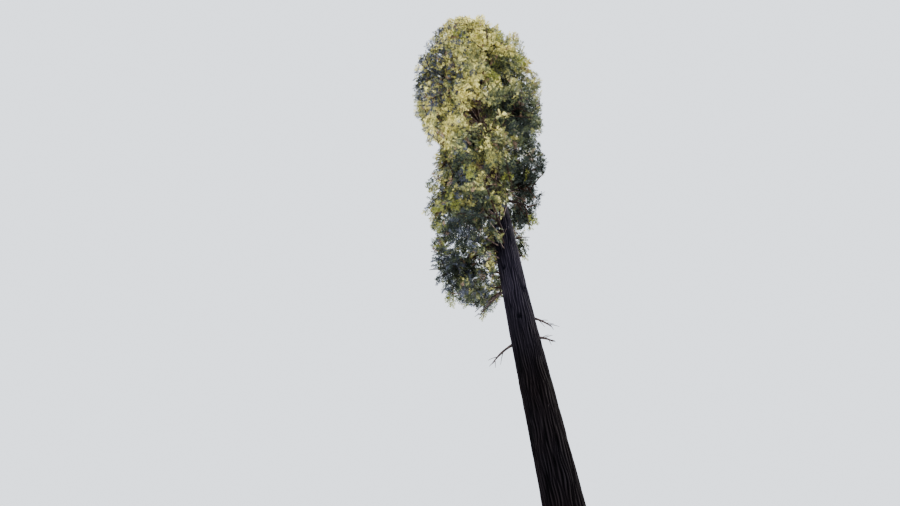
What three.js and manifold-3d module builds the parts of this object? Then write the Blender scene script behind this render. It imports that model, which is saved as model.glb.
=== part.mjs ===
// A coast redwood: one straight trunk with a flared foot, boughs in a spiral up
// its upper two thirds, and a mass of drooping sprays on each bough and on the tip.
// Sizes are millimetres, +Z is up, and the trunk stands on its flat cut at z = 0.
// The real tree is about 62 m tall. Every size here is the real one times 40 / 62.
import * as THREE from 'three';
import Module from 'manifold-3d';

const wasm = await Module();
wasm.setup();

// Whole tree
const HEIGHT = 40000;
const CLEARANCE = 0.3; // between solids that touch in the real tree
const TRUNK_GROWTH = 0.45; // on the radius, so that a flat of the trunk grows by the clearance

// Trunk: a taper curve, plus a flare that dies away above the ground
const STEM_RADIUS = 503;
const TAPER_POWER = 0.7;
const FLARE = 239;
const FLARE_HEIGHT = 710;
const TRUNK_TOP = 38900;
const SWEEP = -150; // the upper trunk stands this far to the side of its foot
const SWEEP_START = 6450;
const SWEEP_LENGTH = 10320;
const TRUNK_SIDES = 24;
const TRUNK_RINGS = 17;
const TRUNK_RING_POWER = 1.7; // above 1, so the rings stand closer near the ground
const RIDGES = 12; // bark ridges round the trunk
const RIDGE_DEPTH = 0.022; // share of the radius
const BUTTRESSES = 5;
const BUTTRESS_DEPTH = 0.11; // share of the radius, at the ground
const BUTTRESS_TURN = 0.8;

// Short dead stubs on the bare trunk: height, direction round the trunk, length
const STUBS = [
  [9300, 2.4, 520],
  [14100, 3.0, 600],
  [14100, 6.15, 320],
  [15000, 0.25, 420],
  [16300, 2.9, 760],
];
const STUB_RADIUS = 42;
const STUB_TIP_RADIUS = 17;
const STUB_DROOP = 0.5; // drop of the tip, share of the length from the trunk's axis
const STUB_BEND = 0.6; // where along it the bend lies

// Crown outline: height and radius, and the lower edge that sits higher on the +X side
const CROWN = [
  [14800, 500],
  [17400, 2100],
  [20600, 2200],
  [24500, 2050],
  [30000, 2950],
  [32900, 2700],
  [36100, 1600],
  [38700, 750],
  [40000, 300],
];
const CROWN_LEAN = 0.2; // share of the radius that the low crown is wider on the -X side
const CROWN_LEAN_TOP = -0.02;
const CROWN_LEAN_START = 19500;
const CROWN_LEAN_LENGTH = 5500;
const EDGE_HEIGHT = 18300;
const EDGE_TILT = 3000;
const EDGE_SOFTNESS = 1900;

// Boughs: a golden-angle spiral in which each bough holds an equal share of the crown
const BOUGHS = 29;
const GOLDEN_ANGLE = Math.PI * (3 - Math.sqrt(5));
const FIRST_TURN = 2.1;
const ANGLE_JITTER = 0.25;
const BOUGH_LOW = 16300;
const BOUGH_HIGH = 38300;
const BOUGH_SHARE = 0.46; // of the crown's radius, where the bough enters its mass
const BOUGH_LEAST = 260; // least length outside the bark
const BOUGH_SIDES = 5;
const BOUGH_STEPS = 3;
const BOUGH_ROOT_RADIUS = 96; // the thickest
const BOUGH_TIP_RADIUS = 46;
const BOUGH_TRUNK_SHARE = 0.42; // greatest root radius, share of the trunk's radius there
const SLOPE_LOW = -0.22; // rise for each unit outwards, at the lowest bough
const SLOPE_HIGH = 0.95; // at the highest
const SLOPE_POWER = 1.8; // above 1, so most boughs stand near level
const SLOPE_JITTER = 0.1;
const EDGE_LIFT = 500; // least height of a bough's root above the crown's lower edge
const BOUGH_BEND = 0.55; // where along it the bend lies
const BOUGH_SAG = 0.1; // drop at the bend, share of the length

// Masses: a stem that goes on from the bough, twigs round it, and blades on the twigs
const SITE_SHARE = 0.68; // of the crown's radius, where a mass's own space is centred
const SPACE_MARGIN = 18;
const STEM_SHARE = 0.86; // of the crown's radius, where the stem ends
const STEM_LEAST = 200;
const STEM_SIDES = 4;
const STEM_STEPS = 3;
const STEM_TIP_RADIUS = 22;
const STEM_DROOP = 0.2;
const TOP_THICKNESS = 0.6; // of the top mass's twigs, share of the thickest
const TOP_TUFT = 350; // height of the sprays above the end of the top mass's stem
const TWIG_SIDES = 3;
const TWIGS = 6;
const FIRST_TWIG = 0.1; // places along the stem, shares of its length
const LAST_TWIG = 0.92;
const TWIG_LENGTH = 1350;
const TWIG_JITTER = 0.15; // of the length
const TWIG_TURN_JITTER = 0.3;
const TWIG_SPREAD = 1.0; // angle between a twig and its stem
const TWIG_ROOT_RADIUS = 34;
const TWIG_TIP_RADIUS = 15;
const TWIG_DROOP = 0.18;
const BLADES_A_TWIG = 3; // one at the tip, the others to the left and right by turns
const TIP_BLADE = 0.97; // places along the twig, shares of its length
const FIRST_SIDE_BLADE = 0.8;
const SIDE_BLADE_STEP = 0.36;
const BLADE_LENGTH = 1750;
const TOP_BLADE_LENGTH = 700; // in the top mass
const BLADE_WIDTH = 0.22; // half width, share of the length
const BLADE_THICK = 0.02; // half thickness, share of the length
const BLADE_CROWN = 0.16; // where it is thickest, share of the length
const TOOTH = 0.5; // places of the tooth's point and root, shares of the length
const TOOTH_ROOT = 0.62;
const TOOTH_ROOT_WIDTH = 0.45; // share of the blade's width
const BLADE_SPREAD = 0.75;
const BLADE_YAW = 0.5;
const BLADE_PITCH = 0.35;
const BLADE_DROOP = 0.25;
const BLADE_TILT = 1.0; // how far a blade may roll about its midrib
const BLADE_SPACING = 0.2; // least distance between midribs, share of the length
const TIMBER_GAP = 25; // between a blade or twig and any limb it passes
const SHRINKS = [1, 0.84, 0.7, 0.56, 0.45, 0.36, 0.28]; // sizes tried, largest first
const TRIES = 4;

const UP = new THREE.Vector3(0, 0, 1);
const NOWHERE = new THREE.Vector3(0, 0, 0);
const QuadraticCurve = THREE.QuadraticBezierCurve3;

const colours = {
  bark: { color: 0x5b3a2b, roughness: 0.95, metalness: 0 },
  bough: { color: 0x6a4634, roughness: 0.95, metalness: 0 },
  foliage: { color: 0x5d7334, roughness: 0.75, metalness: 0 },
};

// A number from 0 to 1 that depends only on the whole numbers given.
function chance(...keys) {
  let hash = 2166136261;
  for (const key of keys) {
    hash = Math.imul(hash ^ key, 16777619);
    hash = Math.imul(hash ^ (hash >>> 15), 2246822519);
  }
  hash ^= hash >>> 13;
  return (hash >>> 0) / 4294967296;
}

function swing(...keys) {
  return 2 * chance(...keys) - 1;
}

function smooth(t) {
  const s = Math.min(1, Math.max(0, t));
  return s * s * (3 - 2 * s);
}

function mix(a, b, t) {
  return a + (b - a) * t;
}

function point(x, y, z) {
  return new THREE.Vector3(x, y, z);
}

// Start plus each direction times its amount.
function along(start, ...steps) {
  const result = start.clone();
  for (const [direction, amount] of steps) {
    result.addScaledVector(direction, amount);
  }
  return result;
}

// Trunk axis and radius at a height.
function trunkCentre(z) {
  return point(SWEEP * smooth((z - SWEEP_START) / SWEEP_LENGTH), 0, z);
}

function trunkRadius(z) {
  return STEM_RADIUS * Math.pow(1 - z / HEIGHT, TAPER_POWER) + FLARE * Math.exp(-z / FLARE_HEIGHT);
}

// Height of the crown's lower edge in a direction round the trunk.
function lowerEdge(angle) {
  return EDGE_HEIGHT + EDGE_TILT * Math.cos(angle);
}

// Radius of the crown's outline at a height and a direction round the trunk.
function crownRadius(z, angle) {
  let radius = 0;
  for (let i = 1; i < CROWN.length; i += 1) {
    const [z0, r0] = CROWN[i - 1];
    const [z1, r1] = CROWN[i];
    if (z >= z0 && z <= z1) {
      radius = mix(r0, r1, (z - z0) / (z1 - z0));
    }
  }
  const lean = mix(CROWN_LEAN, CROWN_LEAN_TOP, smooth((z - CROWN_LEAN_START) / CROWN_LEAN_LENGTH));
  const open = smooth((z - lowerEdge(angle)) / EDGE_SOFTNESS + 0.5);
  return radius * (1 - lean * Math.cos(angle)) * open;
}

function geometryFrom(points, index) {
  const positions = points.flatMap((p) => [p.x, p.y, p.z]);
  const geometry = new THREE.BufferGeometry();
  geometry.setAttribute('position', new THREE.Float32BufferAttribute(positions, 3));
  geometry.setIndex(index);
  return geometry;
}

// A closed surface through rings of points, each ring running anticlockwise as seen
// from the far end, with a flat cap on each end.
function loft(rings) {
  const sides = rings[0].length;
  const last = (rings.length - 1) * sides;
  const index = [];
  for (let k = 1; k < sides - 1; k += 1) {
    index.push(0, k + 1, k);
    index.push(last, last + k, last + k + 1);
  }
  for (let here = 0; here < last; here += sides) {
    const next = here + sides;
    for (let k = 0; k < sides; k += 1) {
      const after = (k + 1) % sides;
      index.push(here + k, here + after, next + after);
      index.push(here + k, next + after, next + k);
    }
  }
  return geometryFrom(rings.flat(), index);
}

function solidOf(geometry) {
  const vertProperties = new Float32Array(geometry.getAttribute('position').array);
  const triVerts = new Uint32Array(geometry.getIndex().array);
  return new wasm.Manifold(new wasm.Mesh({ numProp: 3, vertProperties, triVerts }));
}

function geometryOf(solid) {
  const mesh = solid.getMesh();
  const geometry = new THREE.BufferGeometry();
  geometry.setAttribute('position', new THREE.Float32BufferAttribute(mesh.vertProperties, 3));
  geometry.setIndex(Array.from(mesh.triVerts));
  return geometry;
}

// Two unit vectors square to a direction: sideways and level, then upwards.
function crossAxes(direction) {
  const side = UP.clone().cross(direction);
  if (side.length() < 1e-3) {
    side.set(0, 1, 0);
  }
  side.normalize();
  return [side, direction.clone().cross(side).normalize()];
}

// A round limb along a curve, with its ends cut square to the curve.
function limb(curve, steps, sides, rootRadius, tipRadius) {
  const rings = [];
  for (let i = 0; i <= steps; i += 1) {
    const t = i / steps;
    const centre = curve.getPoint(t);
    const [side, rise] = crossAxes(curve.getTangent(t));
    const radius = mix(rootRadius, tipRadius, t);
    const ring = [];
    for (let k = 0; k < sides; k += 1) {
      const angle = (2 * Math.PI * k) / sides;
      ring.push(along(centre, [side, radius * Math.cos(angle)], [rise, radius * Math.sin(angle)]));
    }
    rings.push(ring);
  }
  return solidOf(loft(rings));
}

// The trunk's surface, grown by an amount all round: ridged bark and a buttressed foot.
function trunkShell(growth) {
  const rings = [];
  for (let i = 0; i < TRUNK_RINGS; i += 1) {
    const z = TRUNK_TOP * Math.pow(i / (TRUNK_RINGS - 1), TRUNK_RING_POWER);
    const centre = trunkCentre(z);
    const foot = Math.exp(-z / (2 * FLARE_HEIGHT));
    const ring = [];
    for (let k = 0; k < TRUNK_SIDES; k += 1) {
      const angle = (2 * Math.PI * k) / TRUNK_SIDES;
      const ridge = RIDGE_DEPTH * Math.cos(RIDGES * angle);
      const buttress = BUTTRESS_DEPTH * foot * Math.cos(BUTTRESSES * angle + BUTTRESS_TURN);
      const radius = trunkRadius(z) * (1 + ridge + buttress) + growth;
      ring.push(point(centre.x + radius * Math.cos(angle), radius * Math.sin(angle), z));
    }
    rings.push(ring);
  }
  return solidOf(loft(rings));
}

// A broken dead stub, from inside the trunk outwards and down.
function stub([z, angle, length]) {
  const outwards = point(Math.cos(angle), Math.sin(angle), 0);
  const root = trunkCentre(z);
  const reach = trunkRadius(z) + length;
  const middle = along(root, [outwards, reach * STUB_BEND]);
  const tip = along(root, [outwards, reach], [UP, -reach * STUB_DROOP]);
  const curve = new QuadraticCurve(root, middle, tip);
  return limb(curve, 2, STEM_SIDES, STUB_RADIUS, STUB_TIP_RADIUS);
}

function makeTrunk() {
  let trunk = trunkShell(0);
  for (const values of STUBS) {
    trunk = trunk.add(stub(values));
  }
  return trunk;
}

// Heights that give each bough an equal share of the crown's surface, highest last.
function boughHeights() {
  const steps = 400;
  const sums = [0];
  for (let i = 0; i < steps; i += 1) {
    const z = mix(BOUGH_LOW, BOUGH_HIGH, (i + 0.5) / steps);
    sums.push(sums[i] + crownRadius(z, Math.PI));
  }
  const heights = [];
  for (let n = 0; n < BOUGHS; n += 1) {
    const share = ((n + 0.5) / BOUGHS) * sums[steps];
    const i = sums.findIndex((sum) => sum > share) - 1;
    const part = (share - sums[i]) / (sums[i + 1] - sums[i]);
    heights.push(mix(BOUGH_LOW, BOUGH_HIGH, (i + part) / steps));
  }
  return heights;
}

// Where each bough starts, which way it goes, and the crown's radius that it serves.
function planBoughs() {
  const plans = [];
  boughHeights().forEach((height, n) => {
    const angle = FIRST_TURN + n * GOLDEN_ANGLE + ANGLE_JITTER * swing(n, 1);
    const level = Math.pow((n + 0.5) / BOUGHS, SLOPE_POWER);
    const slope = mix(SLOPE_LOW, SLOPE_HIGH, level) + SLOPE_JITTER * swing(n, 2);
    const outwards = point(Math.cos(angle), Math.sin(angle), 0);
    const z = Math.max(height, lowerEdge(angle) + EDGE_LIFT);
    const guess = crownRadius(z, angle);
    const radius = crownRadius(Math.min(z + slope * SITE_SHARE * guess, HEIGHT), angle);
    const root = trunkCentre(z);
    const reach = Math.max(BOUGH_SHARE * radius, trunkRadius(z) + BOUGH_LEAST);
    const tip = along(root, [outwards, reach], [UP, slope * reach]);
    const middle = root.clone().lerp(tip, BOUGH_BEND).addScaledVector(UP, -BOUGH_SAG * reach);
    const curve = new QuadraticCurve(root, middle, tip);
    const site = along(root, [outwards, SITE_SHARE * radius], [UP, slope * SITE_SHARE * radius]);
    const thickness = Math.min(1, (BOUGH_TRUNK_SHARE * trunkRadius(z)) / BOUGH_ROOT_RADIUS);
    const name = String(n + 1).padStart(2, '0');
    plans.push({ name, radius, reach, curve, site, tip, thickness });
  });
  return plans;
}

function makeBough(plan, grownTrunk) {
  const rootRadius = BOUGH_ROOT_RADIUS * plan.thickness;
  const tipRadius = BOUGH_TIP_RADIUS * plan.thickness;
  const solid = limb(plan.curve, BOUGH_STEPS, BOUGH_SIDES, rootRadius, tipRadius);
  return solid.subtract(grownTrunk);
}

// Least distance between the segments a-b and c-d.
function segmentGap(a, b, c, d) {
  const first = b.clone().sub(a);
  const second = d.clone().sub(c);
  const between = a.clone().sub(c);
  const aa = first.dot(first);
  const bb = second.dot(second);
  const ab = first.dot(second);
  const ac = first.dot(between);
  const bc = second.dot(between);
  const spread = aa * bb - ab * ab;
  let s = spread > 1e-6 ? (ab * bc - ac * bb) / spread : 0;
  s = Math.min(1, Math.max(0, s));
  let t = (ab * s + bc) / bb;
  t = Math.min(1, Math.max(0, t));
  s = Math.min(1, Math.max(0, (ab * t - ac) / aa));
  return along(a, [first, s]).distanceTo(along(c, [second, t]));
}

// True where a point is inside the crown and nearer to its own site than to any other.
function inOwnSpace(p, own, sites) {
  const centre = trunkCentre(p.z);
  const dx = p.x - centre.x;
  const r = Math.hypot(dx, p.y);
  if (p.z > HEIGHT || r > crownRadius(p.z, Math.atan2(p.y, dx))) {
    return false;
  }
  const mine = p.distanceToSquared(sites[own]);
  return sites.every((site, j) => {
    const margin = 2 * SPACE_MARGIN * site.distanceTo(sites[own]);
    return j === own || p.distanceToSquared(site) - mine > margin;
  });
}

// True where the strip from a to b, this wide on each side, misses the trunk and boughs.
function missesTimber(a, b, halfWidth, timber) {
  for (const t of [0, 0.25, 0.5, 0.75, 1]) {
    const p = a.clone().lerp(b, t);
    const centre = trunkCentre(p.z);
    const gap = Math.hypot(p.x - centre.x, p.y) - trunkRadius(p.z);
    if (p.z < TRUNK_TOP + halfWidth && gap < halfWidth + TIMBER_GAP) {
      return false;
    }
  }
  return timber.every(([c, d, radius]) => segmentGap(a, b, c, d) > halfWidth + radius + TIMBER_GAP);
}

// The points of a blade: its outline with one tooth on each side, and its two faces' crowns.
function bladePoints(root, direction, side, length) {
  const normal = direction.clone().cross(side);
  const at = (forward, across, up) =>
    along(root, [direction, forward * length], [side, across * length], [normal, up * length]);
  return {
    outline: [
      at(0, 0, 0),
      at(TOOTH, -BLADE_WIDTH, 0),
      at(TOOTH_ROOT, -TOOTH_ROOT_WIDTH * BLADE_WIDTH, 0),
      at(1, 0, 0),
      at(TOOTH_ROOT, TOOTH_ROOT_WIDTH * BLADE_WIDTH, 0),
      at(TOOTH, BLADE_WIDTH, 0),
    ],
    tip: at(1, 0, 0),
    top: at(BLADE_CROWN, 0, BLADE_THICK),
    bottom: at(BLADE_CROWN, 0, -BLADE_THICK),
  };
}

function bladeSolid({ outline, top, bottom }) {
  const n = outline.length;
  const index = [];
  for (let k = 0; k < n; k += 1) {
    const after = (k + 1) % n;
    index.push(k, after, n);
    index.push(after, k, n + 1);
  }
  return solidOf(geometryFrom([...outline, top, bottom], index));
}

// One mass: its stem, twigs and blades, all inside its own space and clear of the timber.
function makeMass(own, stem, sites, timber) {
  const { start, heading, radius, length: stemLength, thickness } = stem;
  const isTop = own === BOUGHS;
  const droop = isTop ? 0 : STEM_DROOP;
  const bladeLength = isTop ? TOP_BLADE_LENGTH : BLADE_LENGTH;
  const first = along(start, [heading, CLEARANCE]);
  const end = along(first, [heading, stemLength], [UP, -droop * stemLength]);
  const middle = along(first, [heading, 0.5 * stemLength]);
  const stemCurve = new QuadraticCurve(first, middle, end);
  let solid = limb(stemCurve, STEM_STEPS, STEM_SIDES, radius, STEM_TIP_RADIUS * thickness);
  const midribs = [];

  const addBlade = (root, aim, seed) => {
    for (const size of SHRINKS) {
      const length = bladeLength * size;
      for (let attempt = 0; attempt < TRIES; attempt += 1) {
        const [level, rise] = crossAxes(aim);
        const yaw = BLADE_YAW * swing(own, seed, attempt, 3);
        const pitch = BLADE_PITCH * swing(own, seed, attempt, 4);
        const direction = along(aim, [level, yaw], [rise, pitch], [UP, -BLADE_DROOP]).normalize();
        const [flat, normal] = crossAxes(direction);
        const roll = BLADE_TILT * swing(own, seed, attempt, 5);
        const side = along(NOWHERE, [flat, Math.cos(roll)], [normal, Math.sin(roll)]);
        const points = bladePoints(root, direction, side, length);
        const tip = points.tip;
        const clear = midribs.every(([a, b]) => segmentGap(root, tip, a, b) > BLADE_SPACING * length);
        const inside = points.outline.every((p) => inOwnSpace(p, own, sites));
        if (clear && inside && missesTimber(root, tip, BLADE_WIDTH * length, timber)) {
          solid = solid.add(bladeSolid(points));
          midribs.push([root.clone().lerp(tip, BLADE_SPACING), tip]);
          return;
        }
      }
    }
  };

  const addTwig = (t, seed) => {
    const root = stemCurve.getPoint(t);
    const [side, rise] = crossAxes(stemCurve.getTangent(t));
    const turn = seed * GOLDEN_ANGLE + TWIG_TURN_JITTER * swing(own, seed, 1);
    const outwards = along(NOWHERE, [side, Math.cos(turn)], [rise, Math.sin(turn)]);
    const aim = along(NOWHERE, [heading, Math.cos(TWIG_SPREAD)], [outwards, Math.sin(TWIG_SPREAD)]);
    for (const size of SHRINKS) {
      const length = TWIG_LENGTH * size * (1 - TWIG_JITTER * chance(own, seed, 2));
      const tip = along(root, [aim, length], [UP, -TWIG_DROOP * length]);
      const bend = along(root, [aim, length * 0.5]);
      const curve = new QuadraticCurve(root, bend, tip);
      const middle = curve.getPoint(0.5);
      const clear = inOwnSpace(tip, own, sites)
        && inOwnSpace(middle, own, sites)
        && missesTimber(middle, tip, TWIG_ROOT_RADIUS, timber);
      if (clear) {
        const rootRadius = TWIG_ROOT_RADIUS * thickness;
        const tipRadius = TWIG_TIP_RADIUS * thickness;
        solid = solid.add(limb(curve, 1, TWIG_SIDES, rootRadius, tipRadius));
        const direction = tip.clone().sub(root).normalize();
        const straight = (s) => root.clone().lerp(tip, s);
        addBlade(straight(TIP_BLADE), direction, seed * 10 + 1);
        for (let k = 1; k < BLADES_A_TWIG; k += 1) {
          const hand = k % 2 === 0 ? 1 : -1;
          const [level] = crossAxes(direction);
          const lateral = along(direction, [level, hand * Math.tan(BLADE_SPREAD)]).normalize();
          const place = FIRST_SIDE_BLADE - SIDE_BLADE_STEP * (k - 1);
          addBlade(straight(place), lateral, seed * 10 + 1 + k);
        }
        return;
      }
    }
  };

  addBlade(stemCurve.getPoint(TIP_BLADE), stemCurve.getTangent(1), 0);
  for (let k = 0; k < TWIGS; k += 1) {
    addTwig(mix(FIRST_TWIG, LAST_TWIG, k / (TWIGS - 1)), k + 1);
  }
  return solid;
}

function addNode(group, name, solid, look) {
  const mesh = new THREE.Mesh(geometryOf(solid), new THREE.MeshStandardMaterial(colours[look]));
  mesh.name = name;
  group.add(mesh);
}

function makeTree() {
  const tree = new THREE.Group();
  const grownTrunk = trunkShell(TRUNK_GROWTH);
  const plans = planBoughs();
  const trunkTip = trunkCentre(TRUNK_TOP);
  const topSite = along(trunkTip, [UP, TOP_TUFT]);
  const sites = [...plans.map((plan) => plan.site), topSite];
  const timber = plans.flatMap(({ curve, thickness }) => [
    [curve.getPoint(0), curve.getPoint(0.5), BOUGH_ROOT_RADIUS * thickness],
    [curve.getPoint(0.5), curve.getPoint(1), BOUGH_ROOT_RADIUS * thickness],
  ]);

  addNode(tree, 'trunk', makeTrunk(), 'bark');
  plans.forEach((plan, own) => {
    addNode(tree, `bough_${plan.name}`, makeBough(plan, grownTrunk), 'bough');
    const heading = plan.curve.getTangent(1);
    const level = Math.hypot(heading.x, heading.y);
    const stem = {
      start: plan.tip,
      heading,
      radius: BOUGH_TIP_RADIUS * plan.thickness,
      length: Math.max(STEM_LEAST, STEM_SHARE * plan.radius - plan.reach) / level,
      thickness: plan.thickness,
    };
    addNode(tree, `mass_${plan.name}`, makeMass(own, stem, sites, timber), 'foliage');
  });
  const leader = {
    start: trunkTip,
    heading: UP,
    radius: trunkRadius(TRUNK_TOP),
    length: HEIGHT - TRUNK_TOP - TOP_TUFT,
    thickness: TOP_THICKNESS,
  };
  addNode(tree, 'mass_top', makeMass(BOUGHS, leader, sites, timber), 'foliage');
  return tree;
}

export default makeTree();
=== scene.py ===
import math

import bpy
import numpy as np
from mathutils import Matrix, Vector


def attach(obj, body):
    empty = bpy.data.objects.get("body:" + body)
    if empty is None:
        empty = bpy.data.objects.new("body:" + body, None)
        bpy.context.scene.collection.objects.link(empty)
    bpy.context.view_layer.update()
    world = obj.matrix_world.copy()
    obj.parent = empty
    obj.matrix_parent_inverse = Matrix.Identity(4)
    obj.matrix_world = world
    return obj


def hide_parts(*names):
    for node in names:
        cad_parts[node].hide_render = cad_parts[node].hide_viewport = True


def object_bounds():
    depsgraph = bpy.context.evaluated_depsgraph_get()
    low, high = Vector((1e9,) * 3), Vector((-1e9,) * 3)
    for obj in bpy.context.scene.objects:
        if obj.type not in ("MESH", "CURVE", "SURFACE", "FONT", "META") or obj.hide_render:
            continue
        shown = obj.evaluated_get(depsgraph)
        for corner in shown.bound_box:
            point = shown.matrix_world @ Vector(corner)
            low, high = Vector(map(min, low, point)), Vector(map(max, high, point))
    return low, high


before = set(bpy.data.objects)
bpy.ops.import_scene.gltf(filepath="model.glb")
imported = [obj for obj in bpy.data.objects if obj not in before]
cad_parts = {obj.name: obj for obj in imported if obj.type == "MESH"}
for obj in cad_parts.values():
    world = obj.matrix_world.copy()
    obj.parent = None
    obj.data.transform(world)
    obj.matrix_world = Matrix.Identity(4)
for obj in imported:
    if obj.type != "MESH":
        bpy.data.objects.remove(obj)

cad_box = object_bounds()
rng = np.random.default_rng(62)

# Whole tree, as in the solid model
HEIGHT = 40.0
SCALE = 40.0 / 62.0
CLEARANCE = 0.0003

# Trunk
STEM_RADIUS = 0.503
TAPER_POWER = 0.7
FLARE = 0.239
FLARE_HEIGHT = 0.710
TRUNK_TOP = 38.9
SWEEP = -0.150
SWEEP_START = 6.45
SWEEP_LENGTH = 10.32
BUTTRESSES = 5
BUTTRESS_DEPTH = 0.11
BUTTRESS_TURN = 0.8

# Dead stubs on the bare trunk: height, direction round the trunk, length
STUBS = [
    (9.3, 2.4, 0.52),
    (14.1, 3.0, 0.60),
    (14.1, 6.15, 0.32),
    (15.0, 0.25, 0.42),
    (16.3, 2.9, 0.76),
]
STUB_RADIUS = 0.042
STUB_TIP_RADIUS = 0.017
STUB_DROOP = 0.5
STUB_BEND = 0.6

# Crown outline: height and radius, its lean, and its lower edge
CROWN = np.array([
    (14.8, 0.50),
    (17.4, 2.10),
    (20.6, 2.20),
    (24.5, 2.05),
    (30.0, 2.95),
    (32.9, 2.70),
    (36.1, 1.60),
    (38.7, 0.75),
    (40.0, 0.30),
])
CROWN_LEAN = 0.20
CROWN_LEAN_TOP = -0.02
CROWN_LEAN_START = 19.5
CROWN_LEAN_LENGTH = 5.5
EDGE_HEIGHT = 18.3
EDGE_TILT = 3.0
EDGE_SOFTNESS = 1.9

# Boughs
BOUGHS = 29
GOLDEN_ANGLE = math.pi * (3 - math.sqrt(5))
FIRST_TURN = 2.1
ANGLE_JITTER = 0.25
BOUGH_LOW = 16.3
BOUGH_HIGH = 38.3
BOUGH_SHARE = 0.46
BOUGH_LEAST = 0.260
BOUGH_ROOT_RADIUS = 0.096
BOUGH_TIP_RADIUS = 0.046
BOUGH_TRUNK_SHARE = 0.42
SLOPE_LOW = -0.22
SLOPE_HIGH = 0.95
SLOPE_POWER = 1.8
SLOPE_JITTER = 0.1
EDGE_LIFT = 0.5
BOUGH_BEND = 0.55
BOUGH_SAG = 0.1

# Masses: stems, twigs and fronds
SITE_SHARE = 0.68
SPACE_MARGIN = 0.018
STEM_SHARE = 0.86
STEM_LEAST = 0.2
STEM_TIP_RADIUS = 0.022
STEM_DROOP = 0.2
TOP_THICKNESS = 0.6
TOP_TUFT = 0.35
TWIGS = 6
FIRST_TWIG = 0.1
LAST_TWIG = 0.92
TWIG_LENGTH = 1.35
TWIG_JITTER = 0.15
TWIG_TURN_JITTER = 0.3
TWIG_SPREAD = 1.0
TWIG_ROOT_RADIUS = 0.034
TWIG_TIP_RADIUS = 0.015
TWIG_DROOP = 0.18
BLADES_A_TWIG = 3
TIP_BLADE = 0.97
FIRST_SIDE_BLADE = 0.8
SIDE_BLADE_STEP = 0.36
BLADE_LENGTH = 1.75
TOP_BLADE_LENGTH = 0.70
BLADE_WIDTH = 0.22
TOOTH = 0.5
TOOTH_ROOT = 0.62
TOOTH_ROOT_WIDTH = 0.45
BLADE_SPREAD = 0.75
BLADE_YAW = 0.5
BLADE_PITCH = 0.35
BLADE_DROOP = 0.25
BLADE_TILT = 1.0
BLADE_SPACING = 0.2
TIMBER_GAP = 0.025
SHRINKS = (1, 0.84, 0.7, 0.56, 0.45, 0.36, 0.28)
TRIES = 4

# Finer growth that only this script has
EXTRA_FRONDS = 60             # more fronds a mass, on its stem and twigs
EXTRA_LOW = 16                # the same for the lowest mass, which hangs thin
EXTRA_RISE = 0.25             # share of the masses over which the count rises to EXTRA_FRONDS
EXTRA_SEED = 1000
EXTRA_CHOICES = 4             # places tried for each; the emptiest one is taken
EXTRA_MIDDLE = 0.6            # the share of a frond's length from which emptiness is measured
EXTRA_WORTH = 0.3             # what a metre of frond is worth beside a metre of emptiness
EXTRA_START = 0.05            # least share of the limb's run at which they start
EXTRA_SIZES = (0.78, 0.60, 0.45, 0.32, 0.22)
EXTRA_TRIES = 2
EXTRA_SPACING = 0.05          # from other midribs, share of the frond's length
EXTRA_SPREAD = (0.4, 2.0)     # their angle to the limb; above a right angle they fill the inner crown
EXTRA_TILT = 1.5              # how far they roll
EXTRA_REACH = (0.62, 1.0)     # how near the crown's outline they may come, so that tufts stand out
REACH_SKEW = 1.5              # above 1, so that few of them come the whole way
TOP_LIFT = 0.8                # how much lower than the outline they stay where it narrows upwards
TOP_LIFT_MORE = 3.0           # and more, times what they lack in reach
TOP_CORE = 0.9                # within this radius they may go right up
SHOOTS = 10                   # short twigs a mass, straight from the trunk, that carry fronds too
SHOOT_LENGTH = (0.35, 0.80)
SHOOT_RISE = 1.3              # how far above and below the mass's middle they start
SHOOT_TURN = 1.8              # and how far round the trunk from it
SHOOT_SLOPE = 0.35
SHOOT_SAG = 0.1
SHOOT_REACH = 0.9
ROOT_INSIDE = 0.8             # share of the trunk's radius at which shoots and dead twigs start
FROND_DROOP = 0.10
FROND_START = 0.10            # a frond's outline seems to start this far before its root,
FROND_RISE = 0.45             # widens over this share of its length,
FROND_FALL = 0.62             # narrows over this one
FROND_END = 1.08              # and seems to end here
FROND_FALL_POWER = 0.8
BRANCHLET_SPACING = 0.049     # along a frond, left and right by turns
BRANCHLETS_LEAST = 4
BRANCHLET_WIDTH = 0.30        # longest branchlet, share of the frond's length
BRANCHLET_LEAST = 0.08
BRANCHLET_LENGTHS = (0.7, 1.15)
BRANCHLET_ANGLE = 0.90
BRANCHLET_FAN = 0.15          # spread of that angle
BRANCHLET_LIFT = 0.38         # spread out of the frond's plane
BRANCHLET_SAG = (0.05, 0.35)
BRANCHLET_ROLL = 0.35
BRANCHLET_RADIUS = 0.0045
BRANCHLET_PAST = 1.06         # how far the drawn branchlet goes, times its length
SPRAY_SPACING = 0.0250        # along a branchlet, left and right by turns
SPRAYS_LEAST = 2
TIP_SPRAY = 0.97              # where the last one sits
SPRAY_LENGTH = 0.114
SPRAY_LENGTHS = (0.7, 1.2)
SPRAY_ANGLE = 0.85
SPRAY_FAN = 0.18
SPRAY_JITTER = 0.24
SPRAY_SAG = 0.12
SPRAY_ROLL = 0.45
NEEDLE_PAIRS = 2
NEEDLE_START = 0.03           # where the first pair stands; this and what follows is in spray lengths
NEEDLE_STEP = 0.36
NEEDLE_FOOT = 0.31            # a needle's foot along the rib
NEEDLE_POINT = (0.40, 0.42)   # its point, forwards and out
NEEDLE_NARROWING = 0.15       # how much less far out for each next pair
NEEDLE_SAG = (0.01, 0.06)     # how far its foot's end and its point hang
TIP_NEEDLE = (0.62, 0.09)     # where the last needle starts, and half its width
TIP_NEEDLE_SAG = (0.02, 0.07)
PIECE_LIMIT = 190000          # triangles

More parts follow.
